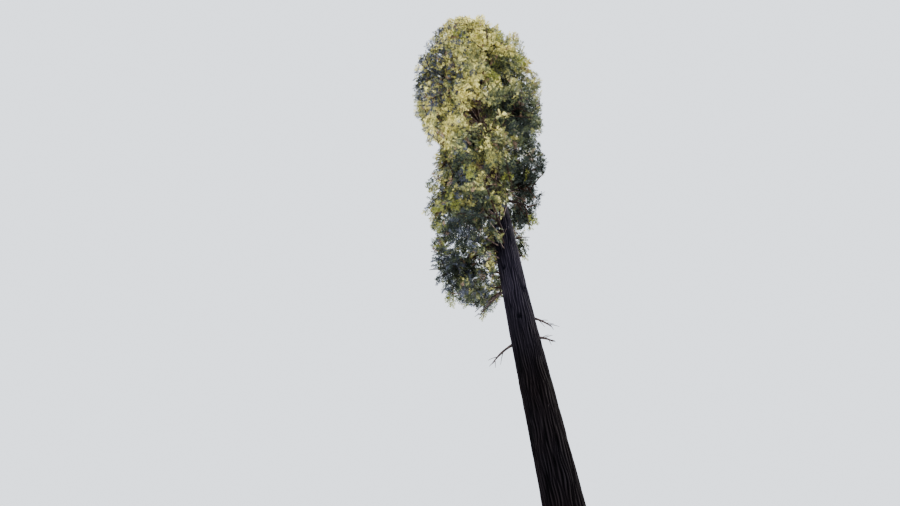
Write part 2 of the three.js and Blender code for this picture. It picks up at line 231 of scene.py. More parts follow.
# Which sprays, branchlets and fronds are kept
OUTLINE_SLACK = 0.12
BARK_GAP = 0.01
# the rule allows 0.03 of each side
BOX_SLACK = 0.024             # share of the solid model's box by which sprays may pass it on each side
TOP_SLACK = 0.04
HANG = 0.8                    # how far sprays may hang below the crown's lower edge
LIFTED_SIDE = 0.7             # the direction in which their lower edge is lifted, and by how much
LIFTED_EDGE = 1.2
LEAST_FIT = 0.5               # a branchlet is left out where fewer of its sprays than this share fit
LEAST_LEFT = 0.4              # and a frond where fewer of its branchlets than this share are left

# Openings in the crown's near side, through which the trunk and its dead twigs show from the photo's
# viewpoint: height on the trunk, radius
OPENINGS = [
    (29.0, 0.32),
    (27.7, 0.40),
    (26.5, 0.32),
    (22.7, 0.34),
    (21.9, 0.36),
]
OPENNESS = 0.9

# Bark relief. Wave sums: whole turns round the trunk from and to, lengths from and to, count, seed
WANDER_WAVES = ((1, 8), (0.8, 3.0), 14, 3)
BROAD_WAVES = ((9, 27), (2.4, 9.0), 28, 1)
FINE_WAVES = ((22, 50), (0.7, 3.5), 34, 2)
BARK_WANDER = 0.022           # radians
FURROW_WIDTH = 0.34
FURROW_SHARE = 0.60
FIBRE_SHARE = 0.40
FIBRE_MOST = 1.5
TRUNK_SIDES = 250
TRUNK_PARTS = (("trunk_bark", 0.0, 19.0, 396), ("trunk_bark_upper", 19.0, TRUNK_TOP, 250))
BARK_DEPTH = 0.024            # half the depth from ridge to furrow, at the foot
BARK_DEPTH_TOP = 0.004

# Old branch scars on the bare trunk: height, direction round the trunk, radius
KNOTS = [
    (14.65, -1.61, 0.10),
    (6.2, -1.1, 0.09),
    (8.1, 1.9, 0.11),
    (10.4, -2.6, 0.07),
    (11.6, 0.4, 0.10),
    (12.9, 2.7, 0.08),
    (15.9, -0.6, 0.07),
    (16.9, -2.1, 0.09),
]
KNOT_TALL = 1.5               # height to width
KNOT_DEPTH = 0.045
KNOT_RIM = 0.018
KNOT_HOLLOW = 0.55            # widths of the hollow's and the rim's bell curves, in the scar's radius
KNOT_RIM_WIDTH = 0.35
KNOT_HOLLOW_SHADE = 2.2               # painted shade in the scars' hollows: how much deeper the hollow counts for the bark's colour

# Timber in the crown
LIMB_SIDES = 10
LIMB_STEPS = 26
LIMB_WANDER = 0.004
LIMB_KNOBS = 0.07
BOUGH_INSIDE = 0.7            # share of the trunk's radius at which boughs start
BOUGH_SWELL = 0.25
BOUGH_SWELL_LENGTH = 0.2
STUB_INSIDE = 0.75
STUB_STEPS = 9
STUB_KNOBS = 0.1
STUB_TWIGS = (0.42, 0.56, 0.70, 0.84, 0.97)
STUB_TWIG_LENGTH = (0.10, 0.30)
STUB_TWIG_SPREAD = 0.8
STUB_TWIG_DROOP = 0.3
STUB_TWIG_RADII = (0.013, 0.005)
DEAD_TWIGS = 420
DEAD_LOW = 17.5
DEAD_HIGH = 37.0
DEAD_LENGTH = (0.25, 1.1)
DEAD_LEAST = 0.15
DEAD_REACH = 0.45             # share of the crown's radius
DEAD_DROOP = (-0.1, 0.7)
DEAD_ARCH = 0.12
DEAD_WANDER = 0.03
DEAD_RADII = (0.018, 0.006)
DEAD_THIN = 0.6               # their radii are those times the sum of this and their length
RIB_RADII = (0.011, 0.003)
RIB_THIN = 0.6                # thickness of the shortest midribs; a metre long one has 1
LIMB_TIP = 0.6                # how thin stems and twigs end, times the solid model's radius
TWIG_TIP = 0.7
LEADER_TIP_RADIUS = 0.01

# Bark colours, with painted shade and painted sunlight
RELIEF_SHADE = 0.62           # how much the relief counts for light and dark, with painted shade in the furrows and the scars' hollows; FIBRE_SHADE is the same for the fine fibres
FIBRE_SHADE = 0.5
SLATE_SPAN = (0.32, 0.40)     # shares of the height between which the bark turns slate grey, and then paler and pinker as painted sunlight
SUNLIT_PALE_SPAN = (0.52, 0.66)      # and then paler and pinker

# Tints by light, from the most sunlit to the deepest shade, and their share of those sprays
TINTS = [
    ("needles_sunlit", (0.860, 0.780, 0.320), 0.15),
    ("needles_bright", (0.530, 0.500, 0.190), 0.20),
    ("needles_olive", (0.262, 0.268, 0.118), 0.23),
    ("needles_green", (0.115, 0.138, 0.075), 0.23),
    ("needles_deep", (0.032, 0.044, 0.036), 0.19),
]
# Tints by chance: blue and russet by branchlet, lime by the outer half of a frond; the blue is painted
# sky-lit shade, likelier towards -X
BLUE_SHADE_TINT = ("needles_blue_shade", (0.090, 0.102, 0.136), 0.14)
RUSSET_TINT = ("needles_russet", (0.240, 0.160, 0.115), 0.04)
LIME_TINT = ("needles_lime", (0.270, 0.290, 0.080), 0.08)
LIME_EDGE = 0.15              # how uneven the lime half's edge is
TINT_LOW = 0.72               # the darkest and palest spots of a tint, times its colour
TINT_HIGH = 1.25
BLUE_SHADE_MIDDLE = 0.6             # how many take the blue painted shade beside the trunk, times the tint's share
BLUE_SHADE_SIDE = 1.4               # how many more for each metre towards -X
BLUE_SHADE_MOST = 3.0
BLUE_SHADE_BANDS = (20, 24, 28, 32)
BLUE_SHADE_LEVELS = (0.65, 0.35, 0.35, 1.25)   # how many at those band heights, times the rest

# What makes a spray light or dark, in light_share
SUN_WORTH = 0.75
HEIGHT_WORTH = 0.80
OUTER_WORTH = 0.30
FROND_CHANCE = 0.22
BRANCHLET_CHANCE = 0.22
SPRAY_CHANCE = 0.20
SHADE_SIDE = 1.15             # how much darker the +X side is
SHADE_SIDE_SPAN = (-0.1, 1.2) # from no shade to all of it, along X
SHADE_TOP = 0.32              # the share of that near the top, and the band heights where it changes
SHADE_TOP_SPAN = (28, 33)
SHADE_LOW = 0.42              # and how much darker it is low down
SHADE_LOW_SPAN = (24, 18)
BAND_SLOPE = 2.2              # how steeply the bands of painted shade and of blue painted shade fall towards the front
SHADE_CELL = 0.30
SHADE_STEPS = 7

# Patches of light and shade on the crown: height, direction round the trunk, radius, and how much
# lighter they are
PATCHES = [
    (29.4, -1.06, 0.85, 0.45),
    (26.7, -1.64, 0.75, 0.45),
    (26.9, -1.09, 0.75, 0.45),
    (24.2, -1.23, 0.65, 0.55),
    (23.0, -1.26, 0.65, 0.55),
    (21.7, -1.70, 0.65, 0.55),
    (25.2, -2.64, 0.70, 0.40),
    (29.1, -2.41, 1.50, -0.30),
    (29.8, -0.55, 1.00, -0.60),
    (25.6, -0.78, 0.80, 0.35),
    (17.4, -2.81, 1.30, -0.80),
    (20.4, -1.96, 1.05, -0.95),
    (20.6, -0.98, 0.90, -0.45),
    (17.9, -1.95, 1.10, -0.70),
]
PATCH_PLACE = 0.85            # share of the crown's radius at which they lie
SOFT_EDGE = 2.2               # how steeply openings and patches fade at their edge

# Studio
SUN_AZIMUTH = 65              # degrees from +Y towards +X
SUN_HEIGHT = 48               # degrees above the level
CAMERA_DISTANCE = 20.0 * SCALE
EYE_HEIGHT = 1.6 * SCALE
CAMERA_HEADING = -8.557       # degrees to the right of the tree's foot
CAMERA_PITCH = 53.352         # degrees above the level
CAMERA_ROLL = -4.915
LENS = 27.36
FLOOR_RADIUS = 900.0
FLOOR_GAP = 0.002             # below the flat cut
FLOOR_COLOUR = (0.65, 0.65, 0.64, 1)
SKY_COLOUR = (0.85, 0.90, 0.97, 1)
SKY_STRENGTH = 1.5

# Lights: name, azimuth, height, strength, width in degrees, colour
LIGHTS = [
    ("key", SUN_AZIMUTH, SUN_HEIGHT, 5.0, 8, (1.0, 0.955, 0.88)),
    ("fill", 195, 6, 1.8, 40, (0.93, 0.96, 1.0)),
]

UP = np.array([0.0, 0.0, 1.0])


# Numbers and curves

def chance(*keys):
    """A number from 0 to 1 that depends only on the whole numbers given (the solid model's hash)."""
    value = 2166136261
    for key in keys:
        value = ((value ^ key) * 16777619) & 0xFFFFFFFF
        value = ((value ^ (value >> 15)) * 2246822519) & 0xFFFFFFFF
    value ^= value >> 13
    return value / 4294967296


def swing(*keys):
    """The same, from -1 to 1."""
    return 2 * chance(*keys) - 1


def smooth(t):
    """Three t squared less two t cubed, held between 0 and 1."""
    s = np.clip(t, 0, 1)
    return s * s * (3 - 2 * s)


def mix(a, b, t):
    """a at t = 0, b at t = 1, and in a straight line between."""
    return a + (b - a) * t


def ease(span, value):
    """0 at the span's first number, 1 at its second, and smooth between."""
    first, second = span
    return smooth((value - first) / (second - first))


def unit(v):
    """Vectors divided by their lengths."""
    return v / np.maximum(np.linalg.norm(v, axis=-1, keepdims=True), 1e-9)


def level_way(angle):
    """Level unit vectors in directions round the trunk."""
    return np.stack([np.cos(angle), np.sin(angle), 0 * angle], -1)


def compass_way(azimuth, height):
    """The direction at this azimuth and height, in degrees; azimuth 0 is +Y and 90 is +X."""
    a, e = math.radians(azimuth), math.radians(height)
    return np.array([math.sin(a) * math.cos(e), math.cos(a) * math.cos(e), math.sin(e)])


def turned(a, b, angle):
    """The direction at an angle from a towards b: a times its cosine plus b times its sine."""
    return a * np.cos(angle) + b * np.sin(angle)


def whole_turn(sides):
    """Equal steps of angle round a full turn."""
    return np.arange(sides) * 2 * math.pi / sides


def cross_axes(direction):
    """For each unit vector d, two more square to it: up cross d over its length, level and
    sideways, then d cross that one, upwards. Where d is upright the first is +Y."""
    x, y, z = direction[..., 0], direction[..., 1], direction[..., 2]
    level = np.hypot(x, y)
    upright = level < 1e-3
    level = np.where(upright, 1.0, level)
    side_x = np.where(upright, 0.0, -y / level)
    side_y = np.where(upright, 1.0, x / level)
    side = np.stack([side_x, side_y, 0 * side_x], -1)
    return side, np.stack([-z * side_y, z * side_x, x * side_y - y * side_x], -1)


def bend(curve, t):
    """Points of a quadratic curve (start, pull, end) at the shares t of its run."""
    a, b, c = curve
    t = np.asarray(t, float)[..., None]
    return (1 - t) ** 2 * a + 2 * (1 - t) * t * b + t * t * c


def bend_heading(curve, t):
    """Unit tangent of the same curve."""
    a, b, c = curve
    return unit((1 - t) * (b - a) + t * (c - b))


# Form of the trunk and the crown

def trunk_centre(z):
    """The trunk's axis: upright, then a smooth step sideways by SWEEP."""
    z = np.asarray(z, float)
    return np.stack([SWEEP * smooth((z - SWEEP_START) / SWEEP_LENGTH), 0 * z, z], axis=-1)


def trunk_radius(z):
    """A power of the height left, plus a flare that dies away above the ground."""
    z = np.asarray(z, float)
    return STEM_RADIUS * np.maximum(1 - z / HEIGHT, 0) ** TAPER_POWER + FLARE * np.exp(-z / FLARE_HEIGHT)


def lower_edge(angle):
    """The crown's lower edge: a level ring, tilted by a cosine."""
    return EDGE_HEIGHT + EDGE_TILT * np.cos(angle)


def crown_radius(z, angle):
    """The outline's radius, wider on the -X side, closed smoothly at the lower edge."""
    radius = np.interp(z, CROWN[:, 0], CROWN[:, 1], left=0, right=0)
    lean = mix(CROWN_LEAN, CROWN_LEAN_TOP, smooth((z - CROWN_LEAN_START) / CROWN_LEAN_LENGTH))
    opening = smooth((z - lower_edge(angle)) / EDGE_SOFTNESS + 0.5)
    return radius * (1 - lean * np.cos(angle)) * opening


# Growth of the boughs, stems, twigs and fronds, by the solid model's rule

def bough_heights():
    """Heights at which the crown's radius, summed from below, passes equal shares."""
    steps = 400
    z = mix(BOUGH_LOW, BOUGH_HIGH, (np.arange(steps) + 0.5) / steps)
    sums = np.concatenate([[0], np.cumsum(crown_radius(z, math.pi))])
    shares = (np.arange(BOUGHS) + 0.5) / BOUGHS * sums[-1]
    return mix(BOUGH_LOW, BOUGH_HIGH, np.interp(shares, sums, np.arange(steps + 1)) / steps)


def plan_boughs():
    """Each bough's curve, its mass's site, and the crown's radius that it serves."""
    plans = []
    for n, height in enumerate(bough_heights()):
        angle = FIRST_TURN + n * GOLDEN_ANGLE + ANGLE_JITTER * swing(n, 1)
        level = ((n + 0.5) / BOUGHS) ** SLOPE_POWER
        slope = mix(SLOPE_LOW, SLOPE_HIGH, level) + SLOPE_JITTER * swing(n, 2)
        outwards = level_way(angle)
        z = max(height, float(lower_edge(angle)) + EDGE_LIFT)
        guess = crown_radius(z, angle)
        radius = float(crown_radius(min(z + slope * SITE_SHARE * guess, HEIGHT), angle))
        root = trunk_centre(z)
        reach = max(BOUGH_SHARE * radius, float(trunk_radius(z)) + BOUGH_LEAST)
        tip = root + outwards * reach + UP * slope * reach
        middle = mix(root, tip, BOUGH_BEND) - UP * BOUGH_SAG * reach
        site = root + (outwards + UP * slope) * SITE_SHARE * radius
        thickness = min(1, BOUGH_TRUNK_SHARE * float(trunk_radius(z)) / BOUGH_ROOT_RADIUS)
        plans.append({
            "curve": (root, middle, tip),
            "site": site,
            "radius": radius,
            "reach": reach,
            "thickness": thickness,
        })
    return plans


def segment_gap(a, b, c, d):
    """Least distance between the segment a-b and each of the segments c-d."""
    first = b - a
    second = d - c
    between = a - c
    aa = np.sum(first * first, -1)
    bb = np.sum(second * second, -1)
    ab = np.sum(first * second, -1)
    ac = np.sum(first * between, -1)
    bc = np.sum(second * between, -1)
    spread = aa * bb - ab * ab
    s = np.where(spread > 1e-12, (ab * bc - ac * bb) / np.maximum(spread, 1e-12), 0)
    s = np.clip(s, 0, 1)
    t = np.clip((ab * s + bc) / bb, 0, 1)
    s = np.clip((ab * t - ac) / aa, 0, 1)
    return np.linalg.norm(a + first * s[..., None] - c - second * t[..., None], axis=-1)


def in_own_space(points, own, sites, room=1.0, lift=0.0):
    """True where all the points are inside the crown, or inside the share `room` of its radius
    with the top lowered by `lift`, and nearer to their own site than to any other."""
    centre = trunk_centre(points[:, 2])
    dx = points[:, 0] - centre[:, 0]
    r = np.hypot(dx, points[:, 1])
    angle = np.arctan2(points[:, 1], dx)
    outline = crown_radius(points[:, 2], angle)
    if lift:
        lowered = crown_radius(points[:, 2] + lift, angle)
        outline = room * np.minimum(outline, np.maximum(lowered, TOP_CORE))
    if np.any(r > outline):
        return False
    squares = np.sum((points[:, None] - sites[None]) ** 2, -1)
    margins = 2 * SPACE_MARGIN * np.linalg.norm(sites - sites[own], axis=-1)
    nearer = squares - squares[:, own:own + 1] > margins
    nearer[:, own] = True
    return bool(np.all(nearer))


def frond_tip(frond):
    """Where a frond ends."""
    return frond["root"] + frond["direction"] * frond["length"]


def keep_frond(frond, fronds, midribs):
    """Adds a frond, if there is one, and its midrib less a little at its root."""
    if frond:
        fronds.append(frond)
        midribs.append((mix(frond["root"], frond_tip(frond), BLADE_SPACING), frond_tip(frond)))


def misses_timber(a, b, half_width, timber):
    """True where the strip from a to b, this wide on each side, misses the trunk and the boughs."""
    points = mix(a, b, np.linspace(0, 1, 5)[:, None])
    centre = trunk_centre(points[:, 2])
    gap = np.hypot(points[:, 0] - centre[:, 0], points[:, 1]) - trunk_radius(points[:, 2])
    if np.any((points[:, 2] < TRUNK_TOP + half_width) & (gap < half_width + TIMBER_GAP)):
        return False
    starts, ends, radii = timber
    return bool(np.all(segment_gap(a, b, starts, ends) > half_width + radii + TIMBER_GAP))


def blade_outline(root, direction, side, length):
    """Root, tooth, tooth's root, tip, and the same on the other side."""
    half = [(0, 0), (TOOTH, -1), (TOOTH_ROOT, -TOOTH_ROOT_WIDTH)]
    whole = half + [(1, 0)] + [(along, -across) for along, across in half[:0:-1]]
    across = side * BLADE_WIDTH
    return np.array([root + (direction * x + across * y) * length for x, y in whole])


def frond_aim(aim, own, seed, attempt, tilt):
    """A direction near the aim, drooping, and the level side of the frond, rolled."""
    level, rise = cross_axes(aim)
    yaw = BLADE_YAW * swing(own, seed, attempt, 3)
    pitch = BLADE_PITCH * swing(own, seed, attempt, 4)
    direction = unit(aim + level * yaw + rise * pitch - UP * BLADE_DROOP)
    flat, normal = cross_axes(direction)
    roll = tilt * swing(own, seed, attempt, 5)
    return direction, turned(flat, normal, roll)


def fit_frond(root, aim, own, seed, world, midribs, spacing, limits=None):
    """The largest frond that keeps to the mass's space, misses the timber and its neighbours. The
    limits are the sizes to try, the tries for each, the roll, and what in_own_space asks for."""
    sites, timber = world
    sizes, tries, tilt, room, lift = limits or (SHRINKS, TRIES, BLADE_TILT, 1.0, 0.0)
    longest = TOP_BLADE_LENGTH if own == BOUGHS else BLADE_LENGTH
    for size in sizes:
        length = longest * size
        for attempt in range(tries):
            direction, side = frond_aim(aim, own, seed, attempt, tilt)
            tip = root + direction * length
            if midribs:
                starts = np.array([m[0] for m in midribs])
                ends = np.array([m[1] for m in midribs])
                if np.any(segment_gap(root, tip, starts, ends) <= spacing * length):
                    continue
            if not in_own_space(blade_outline(root, direction, side, length), own, sites, room, lift):
                continue
            if misses_timber(root, tip, BLADE_WIDTH * length, timber):
                return {"root": root, "direction": direction, "side": side, "length": length, "mass": own}
    return None


def grow_mass(own, start, heading, stem_length, thickness, world):
    """One mass's stem curve, twig curves and fronds."""
    sites, timber = world
    droop = 0 if own == BOUGHS else STEM_DROOP
    first = start + heading * CLEARANCE
    end = first + heading * stem_length - UP * droop * stem_length
    stem = (first, first + heading * 0.5 * stem_length, end)
    twigs = []
    fronds = []
    midribs = []

    def add(root, aim, seed):
        keep_frond(fit_frond(root, aim, own, seed, world, midribs, BLADE_SPACING), fronds, midribs)

    add(bend(stem, TIP_BLADE), bend_heading(stem, 1), 0)
    for k in range(TWIGS):
        seed = k + 1
        t = mix(FIRST_TWIG, LAST_TWIG, k / (TWIGS - 1))
        root = bend(stem, t)
        side, rise = cross_axes(bend_heading(stem, t))
        turn = seed * GOLDEN_ANGLE + TWIG_TURN_JITTER * swing(own, seed, 1)
        aim = turned(heading, turned(side, rise, turn), TWIG_SPREAD)
        for size in SHRINKS:
            length = TWIG_LENGTH * size * (1 - TWIG_JITTER * chance(own, seed, 2))
            tip = root + aim * length - UP * TWIG_DROOP * length
            twig = (root, root + aim * length * 0.5, tip)
            middle = bend(twig, 0.5)
            if not in_own_space(np.array([tip, middle]), own, sites):
                continue
            if not misses_timber(middle, tip, TWIG_ROOT_RADIUS, timber):
                continue
            twigs.append(twig)
            direction = unit(tip - root)
            add(mix(root, tip, TIP_BLADE), direction, seed * 10 + 1)
            for n in range(1, BLADES_A_TWIG):
                hand = 1 if n % 2 == 0 else -1
                level, _ = cross_axes(direction)
                lateral = unit(direction + level * hand * math.tan(BLADE_SPREAD))
                place = FIRST_SIDE_BLADE - SIDE_BLADE_STEP * (n - 1)
                add(mix(root, tip, place), lateral, seed * 10 + 1 + n)
            break
    return {
        "own": own,
        "stem": stem,
        "twigs": twigs,
        "fronds": fronds,
        "midribs": midribs,
        "thickness": thickness,
    }


def grow_shoots(own, site, world):
    """Short twigs straight from the trunk, beside the mass's middle, where they end in its space."""
    sites, timber = world
    level = math.atan2(site[1], site[0] - trunk_centre(site[2])[0])
    shoots = []
    for k in range(SHOOTS):
        z = site[2] + SHOOT_RISE * swing(own, k, 11)
        angle = level + SHOOT_TURN * swing(own, k, 12)
        if z > TRUNK_TOP or z < float(lower_edge(angle)):
            continue
        outwards = level_way(angle)
        root = trunk_centre(z) + outwards * float(trunk_radius(z)) * ROOT_INSIDE
        length = mix(*SHOOT_LENGTH, chance(own, k, 13))
        tip = root + (outwards + UP * SHOOT_SLOPE) * length
        middle = mix(root, tip, 0.5) - UP * SHOOT_SAG * length
        if in_own_space(np.array([tip, mix(middle, tip, 0.4)]), own, sites, SHOOT_REACH, TOP_LIFT):
            shoots.append((root, middle, tip))
    return shoots


def fill_mass(mass, world):
    """More fronds on the stem and twigs, each at the emptiest of a few places, in the same space."""
    own = mass["own"]
    parents = [mass["stem"], *mass["twigs"]]
    wanted = np.interp(own / BOUGHS, (0, EXTRA_RISE), (EXTRA_LOW, EXTRA_FRONDS))
    for extra in range(round(wanted)):
        best = None
        for choice in range(EXTRA_CHOICES):
            seed = EXTRA_SEED + extra * EXTRA_CHOICES + choice
            parent = parents[int(chance(own, seed, 1) * len(parents))]
            t = mix(EXTRA_START, 1.0, chance(own, seed, 2))
            heading = bend_heading(parent, t)
            side, rise = cross_axes(heading)
            turn = 2 * math.pi * chance(own, seed, 6)
            spread = mix(*EXTRA_SPREAD, chance(own, seed, 7))
            aim = unit(turned(heading, turned(side, rise, turn), spread))
            room = mix(*EXTRA_REACH, chance(own, seed, 8) ** REACH_SKEW)
            root = bend(parent, t)
            lift = TOP_LIFT + TOP_LIFT_MORE * (1 - room)
            limits = (EXTRA_SIZES, EXTRA_TRIES, EXTRA_TILT, room, lift)
            frond = fit_frond(root, aim, own, seed, world, mass["midribs"], EXTRA_SPACING, limits)
            if frond is None:
                continue
            middle = mix(frond["root"], frond_tip(frond), EXTRA_MIDDLE)
            centres = np.array([mix(a, b, 0.5) for a, b in mass["midribs"]])
            worth = np.min(np.linalg.norm(centres - middle, axis=-1)) + EXTRA_WORTH * frond["length"]
            if best is None or worth > best[0]:
                best = (worth, frond)
        if best:
            keep_frond(best[1], mass["fronds"], mass["midribs"])


def grow_tree():
    """All the boughs' plans and all the masses."""
    plans = plan_boughs()
    trunk_tip = trunk_centre(TRUNK_TOP)
    sites = np.array([plan["site"] for plan in plans] + [trunk_tip + UP * TOP_TUFT])
    starts = [bend(plan["curve"], t) for plan in plans for t in (0, 0.5)]
    ends = [bend(plan["curve"], t) for plan in plans for t in (0.5, 1)]
    radii = np.repeat([BOUGH_ROOT_RADIUS * plan["thickness"] for plan in plans], 2)
    world = (sites, (np.array(starts), np.array(ends), radii))
    masses = []
    for own, plan in enumerate(plans):
        heading = bend_heading(plan["curve"], 1)
        level = math.hypot(heading[0], heading[1])
        stem_length = max(STEM_LEAST, STEM_SHARE * plan["radius"] - plan["reach"]) / level
        masses.append(grow_mass(own, plan["curve"][2], heading, stem_length, plan["thickness"], world))
    top_length = HEIGHT - TRUNK_TOP - TOP_TUFT
    masses.append(grow_mass(BOUGHS, trunk_tip, UP, top_length, TOP_THICKNESS, world))
    for mass, site in zip(masses, sites):
        mass["twigs"] += grow_shoots(mass["own"], site, world)
        fill_mass(mass, world)
    return plans, masses


# Meshes from arrays

def mesh_piece(name, points, triangles, material, smooth_faces=True, quads=None, attribute=None):
    """A mesh object from arrays of points and faces, with one material and one point attribute."""
    faces = [np.asarray(triangles, np.int32).reshape(-1, 3)]
    sizes = [np.full(len(faces[0]), 3, np.int32)]
    if quads is not None:
        faces.append(np.asarray(quads, np.int32).reshape(-1, 4))
        sizes.append(np.full(len(faces[1]), 4, np.int32))
    corners = np.concatenate([f.ravel() for f in faces])
    totals = np.concatenate(sizes)
    mesh = bpy.data.meshes.new(name)
    mesh.vertices.add(len(points))
    mesh.vertices.foreach_set("co", np.asarray(points, np.float32).ravel())
    mesh.loops.add(len(corners))
    mesh.loops.foreach_set("vertex_index", corners)
    mesh.polygons.add(len(totals))
    starts = np.concatenate([[0], np.cumsum(totals)[:-1]]).astype(np.int32)
    mesh.polygons.foreach_set("loop_start", starts)
    mesh.polygons.foreach_set("use_smooth", np.full(len(totals), smooth_faces))
    mesh.update(calc_edges=True)
    if attribute is not None:
        label, values = attribute
        layer = mesh.attributes.new(label, "FLOAT", "POINT")
        layer.data.foreach_set("value", np.asarray(values, np.float32).ravel())
    mesh.materials.append(material)
    mesh.validate()
    piece = bpy.data.objects.new(name, mesh)
    bpy.context.scene.collection.objects.link(piece)
    return piece


def rings_round(direction, sides):
    """For each direction, the points of a ring of radius one square to it."""
    side, rise = cross_axes(direction)
    return turned(side[..., None, :], rise[..., None, :], whole_turn(sides)[:, None])


def ring_quads(index):
    """Quads between neighbouring rings, from point numbers in an array (..., rings, sides)."""
    after = np.roll(index, -1, axis=-1)
    corners = (index[..., :-1, :], after[..., :-1, :], after[..., 1:, :], index[..., 1:, :])
    return np.stack(corners, -1).reshape(-1, 4)


def copies(points, triangles):
    """Many copies as one mesh: points is (copies, corners, 3), and the triangles are those of one."""
    offsets = points.shape[1] * np.arange(len(points))[:, None, None]
    return points.reshape(-1, 3), (np.array(triangles) + offsets).reshape(-1, 3)


def tubes(paths, radii, sides):
    """Round limbs: paths is (limbs, steps, 3), radii (limbs, steps). Each ring of `sides` points is
    the centre plus the radius times a ring square to the limb. Each end is capped by a fan."""
    count, steps, _ = paths.shape
    rings = rings_round(unit(np.gradient(paths, axis=1)), sides)
    points = paths[:, :, None] + rings * radii[:, :, None, None]
    index = np.arange(count * steps * sides).reshape(count, steps, sides)
    k = np.arange(1, sides - 1)
    caps = []
    for ring, near, far in ((index[:, 0], k + 1, k), (index[:, -1], k, k + 1)):
        corner = np.broadcast_to(ring[:, :1], (count, sides - 2))
        caps.append(np.stack([corner, ring[:, near], ring[:, far]], -1).reshape(-1, 3))
    return points.reshape(-1, 3), np.concatenate(caps), ring_quads(index)


def bent_tubes(curve, ends, thickness, steps, sides):
    """Limbs along curves of (roots, pulls, tips), whose radius runs between two ends, times each
    limb's thickness."""
    t = np.linspace(0, 1, steps)
    paths = np.stack([bend(curve, np.full(len(thickness), s)) for s in t], 1)
    return tubes(paths, mix(*ends, t) * thickness[:, None], sides)


def join_tubes(parts):
    """Several results of tubes as one."""
    points, triangles, quads = [], [], []
    offset = 0
    for p, t, q in parts:
        points.append(p)
        triangles.append(t + offset)
        quads.append(q + offset)
        offset += len(p)
    return np.concatenate(points), np.concatenate(triangles), np.concatenate(quads)


# Bark relief

def waves(angle, z, turns, lengths, count, seed):
    """A sum of `count` cosines round and up the trunk, with whole numbers of turns so that it closes."""
    dice = np.random.default_rng(seed)
    total = np.zeros(np.broadcast(angle, z).shape)
    for _ in range(count):
        n = dice.integers(turns[0], turns[1])
        pitch = 2 * math.pi / dice.uniform(*lengths) * dice.choice([-1, 1])
        total += np.cos(n * angle + pitch * z + dice.uniform(0, 2 * math.pi))
    return total / math.sqrt(count / 2)


def bark_height(angle, z):
    """Long ridges that wander, split and join. One less twice a bell curve of a broad wave sum gives
    narrow furrows along its zero lines, and a finer sum adds fibres. It runs from about -1 to 1."""
    turned = angle + BARK_WANDER * waves(angle, z, *WANDER_WAVES)
    broad = waves(turned, z, *BROAD_WAVES)
    fine = waves(turned, z, *FINE_WAVES)
    furrow = 1 - 2 * np.exp(-(broad / FURROW_WIDTH) ** 2)
    return FURROW_SHARE * furrow + FIBRE_SHARE * np.clip(fine, -FIBRE_MOST, FIBRE_MOST)


def knot_shape(angle, z, centre):
    """How far inside a scar each point is: a bell curve for the hollow and one for the rim round it."""
    height, direction, radius = centre
    across = np.angle(np.exp(1j * (angle - direction))) * trunk_radius(height)
    d = np.hypot(across, (z - height) / KNOT_TALL) / radius
    return np.exp(-(d / KNOT_HOLLOW) ** 2), np.exp(-((d - 1) / KNOT_RIM_WIDTH) ** 2)


def make_trunk(material):
    """The trunk in two lengths: rings round its axis, whose radius is the trunk's times one plus
    the buttresses, plus the bark's relief and the scars. Each length has a flat cut at both ends."""
    angle = whole_turn(TRUNK_SIDES)
    pieces = []
    for name, low, high, rings in TRUNK_PARTS:
        z = np.linspace(low, high, rings)
        zz = z[:, None]
        height = bark_height(angle[None], zz)
        foot = np.exp(-zz / (2 * FLARE_HEIGHT))
        buttress = BUTTRESS_DEPTH * foot * np.cos(BUTTRESSES * angle + BUTTRESS_TURN)
        depth = mix(BARK_DEPTH, BARK_DEPTH_TOP, smooth(zz / TRUNK_TOP))
        radius = trunk_radius(zz) * (1 + buttress) + depth * height
        for knot in KNOTS:
            hollow, rim = knot_shape(angle[None], zz, knot)
            radius = radius - KNOT_DEPTH * hollow + KNOT_RIM * rim
            # The scars' hollows count deeper for the colour only: painted shade.
            height = height - KNOT_HOLLOW_SHADE * hollow
        points = trunk_centre(z)[:, None] + radius[..., None] * level_way(angle)
        ends = [trunk_centre(low), trunk_centre(high)]
        relief = np.concatenate([height.ravel(), [0, 0]]) * 0.5 + 0.5
        pieces.append(ring_stack(name, points, ends, relief, material))
    return pieces


def ring_stack(name, points, ends, relief, material):
    """A closed mesh from an array of rings (rings, sides, 3) and the middle points of its two ends."""
    rings, sides, _ = points.shape
    count = rings * sides
    index = np.arange(count).reshape(rings, sides)
    after = np.roll(index, -1, axis=1)
    low = np.stack([np.full(sides, count), after[0], index[0]], -1)
    high = np.stack([np.full(sides, count + 1), index[-1], after[-1]], -1)
    points = np.concatenate([points.reshape(-1, 3), ends])
    caps = np.concatenate([low, high])
    return mesh_piece(name, points, caps, material, True, ring_quads(index), ("relief", relief))


# Timber in the crown

def knobs(count, steps, seed, size):
    """Radius factors near one, a smooth random run along each limb."""
    dice = np.random.default_rng(seed)
    raw = dice.normal(0, size, (count, steps))
    return 1 + (raw + np.roll(raw, 1, axis=1)) / 2


